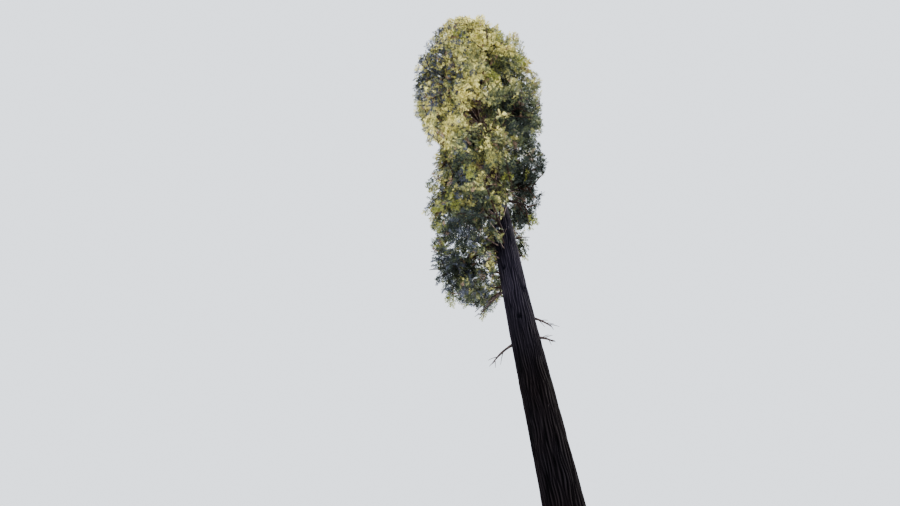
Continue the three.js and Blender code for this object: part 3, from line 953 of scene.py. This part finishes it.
def make_boughs(plans, masses, material):
    """Each bough from inside the trunk to its mass, and the stem that goes on from it, as one limb."""
    t = np.linspace(0, 1, LIMB_STEPS)
    paths, radii = [], []
    for plan, mass in zip(plans, masses):
        root, middle, tip = plan["curve"]
        inside = float(trunk_radius(root[2])) * BOUGH_INSIDE / plan["reach"]
        share = inside + (1 - inside) * t
        paths.append(np.concatenate([bend(plan["curve"], share), bend(mass["stem"], t[1:])]))
        swell = 1 + BOUGH_SWELL * np.exp(-((share - inside) / BOUGH_SWELL_LENGTH) ** 2)
        out = mix(BOUGH_ROOT_RADIUS, BOUGH_TIP_RADIUS, share) * swell
        along = np.concatenate([out, mix(BOUGH_TIP_RADIUS, STEM_TIP_RADIUS * LIMB_TIP, t[1:])])
        radii.append(along * plan["thickness"])
    run = np.linspace(0, 1, 2 * LIMB_STEPS - 1)
    paths.append(bend(masses[-1]["stem"], run))
    radii.append(mix(float(trunk_radius(TRUNK_TOP)), LEADER_TIP_RADIUS, run))
    paths, radii = np.array(paths), np.array(radii)
    wander = np.cumsum(rng.normal(0, LIMB_WANDER, paths.shape), axis=1) * run[:, None]
    paths[:-1] += wander[:-1]
    radii *= knobs(*radii.shape, 3, LIMB_KNOBS)
    return mesh_piece("boughs", *pick(tubes(paths, radii, LIMB_SIDES), material))


def pick(made, material):
    """The arguments of mesh_piece that follow the name, from a result of tubes."""
    points, triangles, quads = made
    return points, triangles, material, True, quads


def stub_tubes():
    """The dead stubs, each a short bent limb with a broken end."""
    t = np.linspace(0, 1, STUB_STEPS)
    paths, radii = [], []
    for z, angle, length in STUBS:
        root = trunk_centre(z)
        outwards = level_way(angle)
        reach = float(trunk_radius(z)) + length
        tip = root + outwards * reach - UP * reach * STUB_DROOP
        curve = (root, root + outwards * reach * STUB_BEND, tip)
        inside = STUB_INSIDE * float(trunk_radius(z)) / (2 * STUB_BEND * reach)
        paths.append(bend(curve, mix(inside, 1, t)))
        radii.append(mix(STUB_RADIUS, STUB_TIP_RADIUS, t))
    radii = np.array(radii) * knobs(len(STUBS), STUB_STEPS, 5, STUB_KNOBS)
    paths = np.array(paths)
    return join_tubes([tubes(paths, radii, 8), side_twig_tubes(paths)])


def side_twig_tubes(stubs):
    """Bare twigs that fork from the stubs at the shares STUB_TWIGS of their run."""
    roots, aims = [], []
    for path in stubs:
        for share in STUB_TWIGS:
            k = round(share * (len(path) - 1))
            roots.append(path[k])
            aims.append(path[k] - path[k - 1])
    roots, aims = np.array(roots), unit(np.array(aims))
    side, rise = cross_axes(aims)
    turn = rng.uniform(0, 2 * math.pi, (len(roots), 1))
    fork = unit(aims + STUB_TWIG_SPREAD * turned(side, rise, turn))
    length = rng.uniform(*STUB_TWIG_LENGTH, (len(roots), 1))
    tips = roots + fork * length - UP * STUB_TWIG_DROOP * length
    curve = (roots, roots + fork * length * 0.5, tips)
    return bent_tubes(curve, STUB_TWIG_RADII, np.ones(len(roots)), 5, 5)


def dead_twig_tubes():
    """Thin bare twigs that droop from the trunk among the boughs."""
    z = rng.uniform(DEAD_LOW, DEAD_HIGH, DEAD_TWIGS)
    angle = rng.uniform(0, 2 * math.pi, DEAD_TWIGS)
    room = crown_radius(z, angle)
    length = np.minimum(rng.uniform(*DEAD_LENGTH, DEAD_TWIGS), DEAD_REACH * room)
    keep = length > DEAD_LEAST
    z, angle, length = z[keep], angle[keep], length[keep]
    outwards = level_way(angle)
    bark = trunk_radius(z)[:, None]
    root = trunk_centre(z) + outwards * bark * ROOT_INSIDE
    droop = rng.uniform(*DEAD_DROOP, len(z))[:, None]
    tip = root + outwards * (length[:, None] + bark * (1 - ROOT_INSIDE)) - UP * droop * length[:, None]
    arch = UP * DEAD_ARCH * length[:, None]
    middle = mix(root, tip, 0.5) + arch + rng.normal(0, DEAD_WANDER, root.shape)
    return bent_tubes((root, middle, tip), DEAD_RADII, DEAD_THIN + length, 6, 4)


def make_dead_wood(stub_material, twig_material):
    """The stubs with their side twigs, and the bare twigs on the trunk inside the crown."""
    stubs = mesh_piece("dead_stubs", *pick(stub_tubes(), stub_material))
    return [stubs, mesh_piece("dead_twigs", *pick(dead_twig_tubes(), twig_material))]


# Fronds, branchlets and sprays

def frond_arrays(masses):
    """The fronds of all masses as arrays."""
    fronds = [frond for mass in masses for frond in mass["fronds"]]
    keys = ("root", "direction", "side", "length", "mass")
    return {key: np.array([frond[key] for frond in fronds]) for key in keys}


def spread_out(wanted, least):
    """The children of items that want this many each, and have at least so many: each child's
    parent, its order, and its place from 0 to 1."""
    counts = np.maximum(np.round(wanted).astype(int), least)
    parent = np.repeat(np.arange(len(counts)), counts)
    start = np.concatenate([[0], np.cumsum(counts)[:-1]])
    order = np.arange(counts.sum()) - start[parent]
    return parent, order, (order + 0.5) / counts[parent]


def frond_point(f, parent, s):
    """Along the midrib: straight, less a droop that grows with the square of the way."""
    reach = (f["length"][parent] * s)[:, None]
    return f["root"][parent] + f["direction"][parent] * reach - UP * (FROND_DROOP * reach * s[:, None])


def grow_branchlets(f):
    """Branchlets left and right by turns along each frond. Their length follows the frond's
    outline: it rises to its widest near two fifths of the way and narrows to the tip."""
    parent, order, s = spread_out(f["length"] / BRANCHLET_SPACING, BRANCHLETS_LEAST)
    n = len(parent)
    rise = np.minimum((s + FROND_START) / FROND_RISE, 1)
    profile = rise * np.minimum((FROND_END - s) / FROND_FALL, 1) ** FROND_FALL_POWER
    length = BRANCHLET_WIDTH * f["length"][parent] * profile * rng.uniform(*BRANCHLET_LENGTHS, n)
    hand = np.where(order % 2 == 0, 1.0, -1.0)
    run, side = f["direction"][parent], f["side"][parent]
    normal = np.cross(run, side)
    angle = BRANCHLET_ANGLE + rng.normal(0, BRANCHLET_FAN, n)
    aim = run * np.cos(angle)[:, None] + side * (hand * np.sin(angle))[:, None]
    aim = aim + normal * rng.normal(0, BRANCHLET_LIFT, n)[:, None]
    aim = aim - UP * rng.uniform(*BRANCHLET_SAG, n)[:, None]
    return {
        "root": frond_point(f, parent, s),
        "direction": unit(aim),
        "normal": unit(normal + rng.normal(0, BRANCHLET_ROLL, (n, 3))),
        "length": np.maximum(length, BRANCHLET_LEAST),
        "frond": parent,
        "place": s,
    }


def grow_sprays(b):
    """Sprays left and right by turns along each branchlet, and one at its tip."""
    parent, order, s = spread_out(b["length"] / SPRAY_SPACING, SPRAYS_LEAST)
    n = len(parent)
    run = b["direction"][parent]
    side = unit(np.cross(b["normal"][parent], run))
    last = order == np.bincount(parent)[parent] - 1
    hand = np.where(last, 0.0, np.where(order % 2 == 0, 1.0, -1.0))
    angle = SPRAY_ANGLE + rng.normal(0, SPRAY_FAN, n)
    aim = run * np.cos(angle * np.abs(hand))[:, None] + side * (hand * np.sin(angle))[:, None]
    aim = unit(aim + rng.normal(0, SPRAY_JITTER, (n, 3)) - UP * SPRAY_SAG)
    along = np.where(last, TIP_SPRAY, s)
    root = b["root"][parent] + run * (b["length"][parent] * along)[:, None]
    length = SPRAY_LENGTH * rng.uniform(*SPRAY_LENGTHS, n)
    across = unit(np.cross(b["normal"][parent] + rng.normal(0, SPRAY_ROLL, (n, 3)), aim))
    return {"root": root, "direction": aim, "across": across, "length": length, "branchlet": parent}


def spray_template():
    """One spray in its own axes (forward, across, up), each a share of its length: pairs of needles,
    each a narrow triangle that stands on the rib and leans forward, and one more at the tip."""
    points, triangles = [], []
    for k in range(NEEDLE_PAIRS):
        x = NEEDLE_START + NEEDLE_STEP * k
        forward, width = NEEDLE_POINT
        out = width * (1 - NEEDLE_NARROWING * k)
        for hand in (1, -1):
            first = len(points)
            foot = (x + NEEDLE_FOOT, 0, -NEEDLE_SAG[0])
            points += [(x, 0, 0), foot, (x + forward, hand * out, -NEEDLE_SAG[1])]
            triangles.append((first, first + 1, first + 2)[::hand])
    first = len(points)
    x, half = TIP_NEEDLE
    sag, tip_sag = TIP_NEEDLE_SAG
    points += [(x, -half, -sag), (1, 0, -tip_sag), (x, half, -sag)]
    triangles.append((first, first + 1, first + 2))
    return np.array(points), triangles


def spray_meshes(s, chosen):
    """The template laid along each chosen spray's forward, across and up axes."""
    template, triangles = spray_template()
    forward, across = s["direction"][chosen], s["across"][chosen]
    up = np.cross(forward, across)
    size = s["length"][chosen][:, None, None]
    points = s["root"][chosen][:, None] + size * (
        template[None, :, 0:1] * forward[:, None]
        + template[None, :, 1:2] * across[:, None]
        + template[None, :, 2:3] * up[:, None]
    )
    return copies(points, triangles)


# Which sprays stay

def hold_inside(s):
    """True for sprays whose tips stay near the crown's outline, in the solids' box and off the bark."""
    tip = s["root"] + s["direction"] * s["length"][:, None]
    centre = trunk_centre(tip[:, 2])
    dx = tip[:, 0] - centre[:, 0]
    r = np.hypot(dx, tip[:, 1])
    angle = np.arctan2(tip[:, 1], dx)
    height = np.minimum(tip[:, 2], HEIGHT)
    outline = np.maximum(crown_radius(height, angle), crown_radius(height + HANG, angle))
    low, high = np.array(cad_box[0]), np.array(cad_box[1])
    slack = BOX_SLACK * (high - low)
    boxed = np.all((tip > low - slack) & (tip < np.minimum(high + slack, HEIGHT + TOP_SLACK)), axis=1)
    side = np.maximum(np.cos(angle - LIFTED_SIDE), 0)
    above = tip[:, 2] > lower_edge(angle) - HANG + LIFTED_EDGE * side
    outside_bark = r > trunk_radius(height) + BARK_GAP
    return boxed & above & outside_bark & (r < outline + OUTLINE_SLACK)


def opening_share(points):
    """OPENNESS in the middle of an opening and 0 outside. Each opening is a round passage through the
    sprays, aimed from the trunk at the photo's viewpoint: the distance from its line, as a share of
    its radius, is smoothed."""
    eye = np.array([0, -CAMERA_DISTANCE, EYE_HEIGHT])
    share = np.zeros(len(points))
    for height, radius in OPENINGS:
        start = trunk_centre(height)
        line = unit(eye - start)
        along = (points - start) @ line
        away = np.linalg.norm(points - start - along[:, None] * line, axis=1)
        open_here = OPENNESS * smooth(SOFT_EDGE * (1 - away / radius))
        share = np.maximum(share, np.where(along > 0, open_here, 0))
    return share


def share_of(kept, parent):
    """For each parent, the share of its children that are kept."""
    return np.bincount(parent, kept) / np.bincount(parent)


# Light and tints

def patch_light(points):
    """The sum of the patches' changes of light. Each patch is a ball, and its change fades towards
    the ball's edge."""
    total = np.zeros(len(points))
    for height, direction, radius, change in PATCHES:
        out = PATCH_PLACE * crown_radius(height, direction)
        middle = trunk_centre(height) + out * level_way(direction)
        away = np.linalg.norm(points - middle, axis=1)
        total += change * smooth(SOFT_EDGE * (1 - away / radius))
    return total


def band_height(points):
    """The height by which painted shade and the blue painted shade are dealt out. It counts the crown's
    front as higher.
    """
    return points[:, 2] - BAND_SLOPE * points[:, 1]


def open_to_sun(points):
    """The sprays are counted in cubes. Each spray looks through SHADE_STEPS cubes towards the sun,
    and what it sees of the sun falls off with the sum of their counts."""
    low = points.min(0) - SHADE_CELL
    size = np.ceil((points.max(0) - low) / SHADE_CELL).astype(int) + 1
    cube = ((points - low) / SHADE_CELL).astype(int)
    counts = np.zeros(size)
    np.add.at(counts, tuple(cube.T), 1)
    between = np.zeros(len(points))
    step = compass_way(SUN_AZIMUTH, SUN_HEIGHT) * SHADE_CELL
    for k in range(1, SHADE_STEPS + 1):
        ahead = ((points + step * k - low) / SHADE_CELL).astype(int)
        inside = np.all((ahead >= 0) & (ahead < size), axis=1)
        held = np.clip(ahead, 0, size - 1)
        between += np.where(inside, counts[tuple(held.T)], 0)
    return np.exp(-between / between.mean())


def light_share(s, branchlets, fronds):
    """How sunlit each spray is: a weighted sum of the sun it sees, its height, its place on the frond
    and the patches, less the shade at the side and low down, plus chance for each frond, branchlet
    and spray."""
    parent = branchlets["frond"][s["branchlet"]]
    high = (s["root"][:, 2] - EDGE_HEIGHT) / (HEIGHT - EDGE_HEIGHT)
    by_frond = rng.normal(0, FROND_CHANCE, len(fronds["length"]))[parent]
    by_branchlet = rng.normal(0, BRANCHLET_CHANCE, len(branchlets["length"]))[s["branchlet"]]
    outer = branchlets["place"][s["branchlet"]]
    sun = open_to_sun(s["root"])
    band = band_height(s["root"])
    below_top = mix(1, SHADE_TOP, ease(SHADE_TOP_SPAN, band))
    side = SHADE_SIDE * ease(SHADE_SIDE_SPAN, s["root"][:, 0]) * below_top
    low = SHADE_LOW * ease(SHADE_LOW_SPAN, band)
    chances = by_frond + by_branchlet + rng.normal(0, SPRAY_CHANCE, len(sun))
    lit = SUN_WORTH * sun + HEIGHT_WORTH * high + OUTER_WORTH * outer + patch_light(s["root"])
    return lit - side - low + chances


def deal_tints(s, branchlets, fronds):
    """A list of names of tints, each with the sprays that take it. Chance tints come first, among them
    the blue painted shade, and the rest of the sprays are ranked by light_share, as painted sun and
    shade, and split by the shares of TINTS."""
    luck = rng.uniform(0, 1, len(branchlets["length"]))[s["branchlet"]]
    level = np.interp(band_height(s["root"]), BLUE_SHADE_BANDS, BLUE_SHADE_LEVELS)
    by_side = np.clip(BLUE_SHADE_MIDDLE - BLUE_SHADE_SIDE * s["root"][:, 0], 0, BLUE_SHADE_MOST)
    # Blue sprays are painted sky-lit shade, likelier towards -X and at some band heights.
    blue = luck < BLUE_SHADE_TINT[2] * by_side * level
    russet = luck > 1 - RUSSET_TINT[2]
    turn = rng.uniform(0, 1, len(fronds["length"]))[branchlets["frond"][s["branchlet"]]]
    outer = branchlets["place"][s["branchlet"]] + rng.normal(0, LIME_EDGE, len(luck)) > 0.5
    lime = (turn < LIME_TINT[2]) & outer & ~(blue | russet)
    plain = ~(blue | russet | lime)
    light = light_share(s, branchlets, fronds)
    rank = np.full(len(light), -1.0)
    rank[plain] = np.argsort(np.argsort(-light[plain])) / plain.sum()
    edges = np.concatenate([[0], np.cumsum([share for _, _, share in TINTS])])
    dealt = [(BLUE_SHADE_TINT[0], blue), (RUSSET_TINT[0], russet), (LIME_TINT[0], lime)]
    for k, (name, _, _) in enumerate(TINTS):
        dealt.append((name, (rank >= edges[k]) & (rank < edges[k + 1])))
    return [(name, np.nonzero(mask)[0]) for name, mask in dealt]


# Foliage and twigs

def make_foliage(masses, materials):
    """The sprays joined by tint, and the fronds and branchlets that are left to carry them. A
    branchlet in an opening stays bare."""
    fronds = frond_arrays(masses)
    branchlets = grow_branchlets(fronds)
    sprays = grow_sprays(branchlets)
    bare = rng.uniform(0, 1, len(branchlets["length"])) < opening_share(branchlets["root"])
    inside = hold_inside(sprays)
    full = (share_of(inside, sprays["branchlet"]) > LEAST_FIT) & ~bare
    alive = share_of(full | bare, branchlets["frond"]) > LEAST_LEFT
    full, bare = full & alive[branchlets["frond"]], bare & alive[branchlets["frond"]]
    inside &= full[sprays["branchlet"]]
    sprays = {key: values[inside] for key, values in sprays.items()}
    limit = PIECE_LIMIT // (2 * NEEDLE_PAIRS + 1)
    pieces = []
    for name, chosen in deal_tints(sprays, branchlets, fronds):
        parts = math.ceil(len(chosen) / limit)
        for n, share in enumerate(np.array_split(chosen, parts)):
            label = name if parts == 1 else f"{name}_{n + 1}"
            pieces.append(mesh_piece(label, *spray_meshes(sprays, share), materials[name], False))
    fronds = {key: values[alive] for key, values in fronds.items()}
    return pieces, fronds, {key: values[full | bare] for key, values in branchlets.items()}


def make_twigs(masses, fronds, branchlets, material):
    """Twigs, the fronds' midribs and the branchlets, from thick to thin."""
    t = np.linspace(0, 1, 7)
    twig_paths = np.array([bend(twig, t) for mass in masses for twig in mass["twigs"]])
    thickness = np.array([mass["thickness"] for mass in masses for twig in mass["twigs"]])
    twig_radii = mix(TWIG_ROOT_RADIUS, TWIG_TIP_RADIUS * TWIG_TIP, t) * thickness[:, None]
    t = np.linspace(0, 1, 4)
    count = len(fronds["length"])
    everyone = np.arange(count)
    rib_paths = np.stack([frond_point(fronds, everyone, np.full(count, s)) for s in t], 1)
    rib_radii = mix(*RIB_RADII, t) * mix(RIB_THIN, 1, fronds["length"][:, None])
    root = branchlets["root"]
    tip = root + branchlets["direction"] * (BRANCHLET_PAST * branchlets["length"][:, None])
    thick = join_tubes([tubes(twig_paths, twig_radii, 6), tubes(rib_paths, rib_radii, 3)])
    twigs = mesh_piece("twigs", *pick(thick, material))
    return [twigs, mesh_piece("branchlets", *spikes(root, tip, BRANCHLET_RADIUS), material)]


def spikes(roots, tips, radius):
    """Three-sided spikes: three points round each root and one at its tip, four triangles each."""
    ring = rings_round(unit(tips - roots), 3)
    points = np.concatenate([roots[:, None] + radius * ring, tips[:, None]], 1)
    return copies(points, [(0, 2, 1), (0, 1, 3), (1, 2, 3), (2, 0, 3)])


# Materials

def new_material(name):
    """A node material, its node tree and its Principled shader."""
    material = bpy.data.materials.new(name)
    material.use_nodes = True
    tree = material.node_tree
    shader = tree.nodes["Principled BSDF"]
    return material, tree, shader


def node(tree, kind, **values):
    """A new node. Each value goes to the input of that name, or else to the setting of that name."""
    made = tree.nodes.new(kind)
    for key, value in values.items():
        if key in made.inputs:
            made.inputs[key].default_value = value
        else:
            setattr(made, key, value)
    return made


def stretched(tree, scale):
    """Object coordinates stretched by a scale for each axis."""
    mapping = node(tree, "ShaderNodeMapping", Scale=scale)
    put(tree, node(tree, "ShaderNodeTexCoord").outputs["Object"], mapping.inputs["Vector"])
    return mapping.outputs["Vector"]


def put(tree, value, socket):
    """Joins another socket to this one, or sets it to a number or a colour."""
    if isinstance(value, bpy.types.NodeSocket):
        tree.links.new(value, socket)
    else:
        socket.default_value = value


def noise(tree, vector, detail, roughness=0.55):
    """Noise of scale 1 over the stretched coordinates."""
    made = node(tree, "ShaderNodeTexNoise", Scale=1.0, Detail=detail, Roughness=roughness)
    tree.links.new(vector, made.inputs["Vector"])
    return made.outputs["Fac"]


def ramp(tree, factor, stops):
    """A colour ramp through stops of (place, colour)."""
    made = node(tree, "ShaderNodeValToRGB")
    elements = made.color_ramp.elements
    while len(elements) < len(stops):
        elements.new(0.5)
    for element, (place, colour) in zip(elements, stops):
        element.position = place
        element.color = (*colour, 1)
    tree.links.new(factor, made.inputs["Fac"])
    return made.outputs["Color"]


def grey_ramp(tree, factor, places, values=(0, 1)):
    """A ramp from one grey to another, between two places."""
    return ramp(tree, factor, [(place, (value,) * 3) for place, value in zip(places, values)])


def blend_colours(tree, factor, a, b):
    """Colour a where the factor is 0 and colour b where it is 1."""
    made = node(tree, "ShaderNodeMix", data_type="RGBA", blend_type="MIX")
    for value, socket in ((factor, made.inputs[0]), (a, made.inputs[6]), (b, made.inputs[7])):
        put(tree, value, socket)
    return made.outputs[2]


def maths(tree, operation, a, b):
    """A sum, product or the like of two sockets or numbers."""
    made = node(tree, "ShaderNodeMath", operation=operation)
    put(tree, a, made.inputs[0])
    put(tree, b, made.inputs[1])
    return made.outputs[0]


def set_shader(tree, shader, colour, roughness, specular):
    """Gives the shader its colour, roughness and specular level, each a socket or a value."""
    put(tree, colour, shader.inputs["Base Color"])
    put(tree, roughness, shader.inputs["Roughness"])
    put(tree, specular, shader.inputs["Specular IOR Level"])


def add_bump(tree, shader, height, strength, distance):
    """Bumps the shader's normal by a height."""
    bump = node(tree, "ShaderNodeBump", Strength=strength, Distance=distance)
    tree.links.new(height, bump.inputs["Height"])
    tree.links.new(bump.outputs["Normal"], shader.inputs["Normal"])


def bark_material():
    """Furrowed fibrous bark: purple brown darkened almost to black all over as painted shade, blackest in
    the furrows as more painted shade, then slate grey, and paler and pinker high up as painted sunlight."""
    material, tree, shader = new_material("redwood bark")
    relief = node(tree, "ShaderNodeAttribute", attribute_name="relief").outputs["Fac"]
    fibres = noise(tree, stretched(tree, (26, 26, 1.6)), 6, 0.62)
    patches = noise(tree, stretched(tree, (1.1, 1.1, 0.35)), 3)
    # Low relief, in the furrows and the scars' hollows, darkens the colour: painted shade.
    broad = maths(tree, "MULTIPLY", relief, RELIEF_SHADE)
    level = maths(tree, "ADD", broad, maths(tree, "MULTIPLY", fibres, FIBRE_SHADE))
    # The warm and cool browns of the lower bark are darkened almost to black: painted shade.
    shaded_warm = ramp(tree, level, [
        (0.22, (0.001, 0.001, 0.001)),
        (0.45, (0.003, 0.002, 0.002)),
        (0.68, (0.006, 0.004, 0.004)),
        (0.92, (0.020, 0.014, 0.013)),
    ])
    shaded_cool = ramp(tree, level, [
        (0.22, (0.001, 0.001, 0.002)),
        (0.45, (0.003, 0.003, 0.004)),
        (0.68, (0.005, 0.004, 0.006)),
        (0.92, (0.016, 0.014, 0.018)),
    ])
    slate = ramp(tree, level, [
        (0.22, (0.005, 0.005, 0.009)),
        (0.45, (0.009, 0.008, 0.013)),
        (0.68, (0.015, 0.013, 0.020)),
        (0.92, (0.040, 0.034, 0.046)),
    ])
    # Paler and pinker bark high up: painted sunlight.
    pale = ramp(tree, level, [
        (0.22, (0.010, 0.006, 0.006)),
        (0.50, (0.036, 0.021, 0.020)),
        (0.92, (0.190, 0.125, 0.110)),
    ])
    split = node(tree, "ShaderNodeSeparateXYZ")
    put(tree, node(tree, "ShaderNodeTexCoord").outputs["Object"], split.inputs[0])
    height = maths(tree, "MULTIPLY", split.outputs["Z"], 1 / HEIGHT)
    low = blend_colours(tree, grey_ramp(tree, patches, (0.25, 0.75)), shaded_warm, shaded_cool)
    dark = blend_colours(tree, grey_ramp(tree, height, SLATE_SPAN), low, slate)
    colour = blend_colours(tree, grey_ramp(tree, height, SUNLIT_PALE_SPAN), dark, pale)
    set_shader(tree, shader, colour, grey_ramp(tree, fibres, (0.2, 0.8), (0.98, 0.82)), 0.05)
    add_bump(tree, shader, fibres, 0.8, 0.02)
    return material


def bough_material(name, dark, light):
    """Thin rough bark on boughs and twigs, flecked and streaked."""
    material, tree, shader = new_material(name)
    flecks = noise(tree, stretched(tree, (18, 18, 18)), 5, 0.6)
    middle = tuple((a + b) / 2 for a, b in zip(dark, light))
    colour = ramp(tree, flecks, [(0.3, dark), (0.52, middle), (0.72, light)])
    set_shader(tree, shader, colour, 0.9, 0.2)
    add_bump(tree, shader, flecks, 0.6, 0.01)
    return material


def needle_material(name, tint):
    """Flat needles of one tint, with small changes of value and a satin surface."""
    material, tree, shader = new_material(name)
    mottle = noise(tree, stretched(tree, (5, 5, 5)), 3)
    low = tuple(c * TINT_LOW for c in tint)
    high = tuple(min(c * TINT_HIGH, 1) for c in tint)
    colour = ramp(tree, mottle, [(0.30, low), (0.50, tint), (0.72, high)])
    set_shader(tree, shader, colour, grey_ramp(tree, mottle, (0.3, 0.7), (0.62, 0.48)), 0.35)
    return material


# Studio

def make_camera():
    """Stands on the ground in front of the tree and looks up it, turned and rolled as the photo is."""
    heading, roll = math.radians(CAMERA_HEADING), math.radians(CAMERA_ROLL)
    forward = Vector(compass_way(CAMERA_HEADING, CAMERA_PITCH))
    level = Vector((math.cos(heading), -math.sin(heading), 0))
    above = level.cross(forward)
    right = level * math.cos(roll) + above * math.sin(roll)
    up = right.cross(forward)
    turn = Matrix((right, up, -forward)).transposed().to_4x4()
    data = bpy.data.cameras.new("camera")
    data.lens = LENS
    data.clip_end = 2000
    camera = bpy.data.objects.new("camera", data)
    camera.matrix_world = Matrix.Translation((0, -CAMERA_DISTANCE, EYE_HEIGHT)) @ turn
    bpy.context.scene.collection.objects.link(camera)
    bpy.context.scene.camera = camera


def make_floor():
    """A pale disc at ground level, under the flat cut."""
    sides = 96
    centre = -FLOOR_GAP * UP
    points = np.concatenate([centre + FLOOR_RADIUS * level_way(whole_turn(sides)), [centre]])
    k = np.arange(sides)
    triangles = np.stack([np.full(sides, sides), k, (k + 1) % sides], -1)
    material, tree, shader = new_material("floor")
    set_shader(tree, shader, FLOOR_COLOUR, 0.9, 0.5)
    floor = mesh_piece("floor", points, triangles, material, False)


def make_light():
    """A soft sun from the upper right, a weak one from the front left, and a pale sky."""
    for name, azimuth, height, energy, spread, colour in LIGHTS:
        data = bpy.data.lights.new(name, "SUN")
        data.energy = energy
        data.angle = math.radians(spread)
        data.color = colour
        lamp = bpy.data.objects.new(name, data)
        lamp.rotation_mode = "QUATERNION"
        lamp.rotation_quaternion = Vector(compass_way(azimuth, height)).to_track_quat("Z", "Y")
        bpy.context.scene.collection.objects.link(lamp)
    world = bpy.data.worlds.new("sky")
    world.use_nodes = True
    sky = world.node_tree.nodes["Background"]
    sky.inputs["Color"].default_value = SKY_COLOUR
    sky.inputs["Strength"].default_value = SKY_STRENGTH
    bpy.context.scene.world = world
    bpy.context.scene.view_settings.look = "AgX - Medium High Contrast"


# The whole scene

def dress(piece, slot, *nodes):
    """Rides a piece on the tree's one body and lets it stand for CAD nodes. The slot is not used."""
    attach(piece, "root")
    if nodes:
        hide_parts(*nodes)


def main():
    """Makes everything."""
    make_camera()
    make_light()
    make_floor()
    plans, masses = grow_tree()
    names = sorted(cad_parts)
    bough_bark = bough_material("bough bark", (0.008, 0.005, 0.006), (0.050, 0.032, 0.028))
    twig_bark = bough_material("twig bark", (0.018, 0.011, 0.010), (0.080, 0.052, 0.038))
    dead_bark = bough_material("dead wood", (0.012, 0.009, 0.010), (0.130, 0.098, 0.092))
    dead_twig_bark = bough_material("bare twigs", (0.050, 0.032, 0.032), (0.420, 0.320, 0.290))
    for piece in make_trunk(bark_material()):
        dress(piece, "bark", "trunk")
    boughs = make_boughs(plans, masses, bough_bark)
    dress(boughs, "bough_bark", *[n for n in names if n.startswith("bough")])
    for piece in make_dead_wood(dead_bark, dead_twig_bark):
        dress(piece, "bough_bark")
    tints = [*TINTS, BLUE_SHADE_TINT, RUSSET_TINT, LIME_TINT]
    needles = {name: needle_material(name.replace("_", " "), tint) for name, tint, _ in tints}
    sprays, fronds, branchlets = make_foliage(masses, needles)
    for piece in sprays:
        dress(piece, "needles", *[n for n in names if n.startswith("mass")])
    for piece in make_twigs(masses, fronds, branchlets, twig_bark):
        dress(piece, "bough_bark")


main()
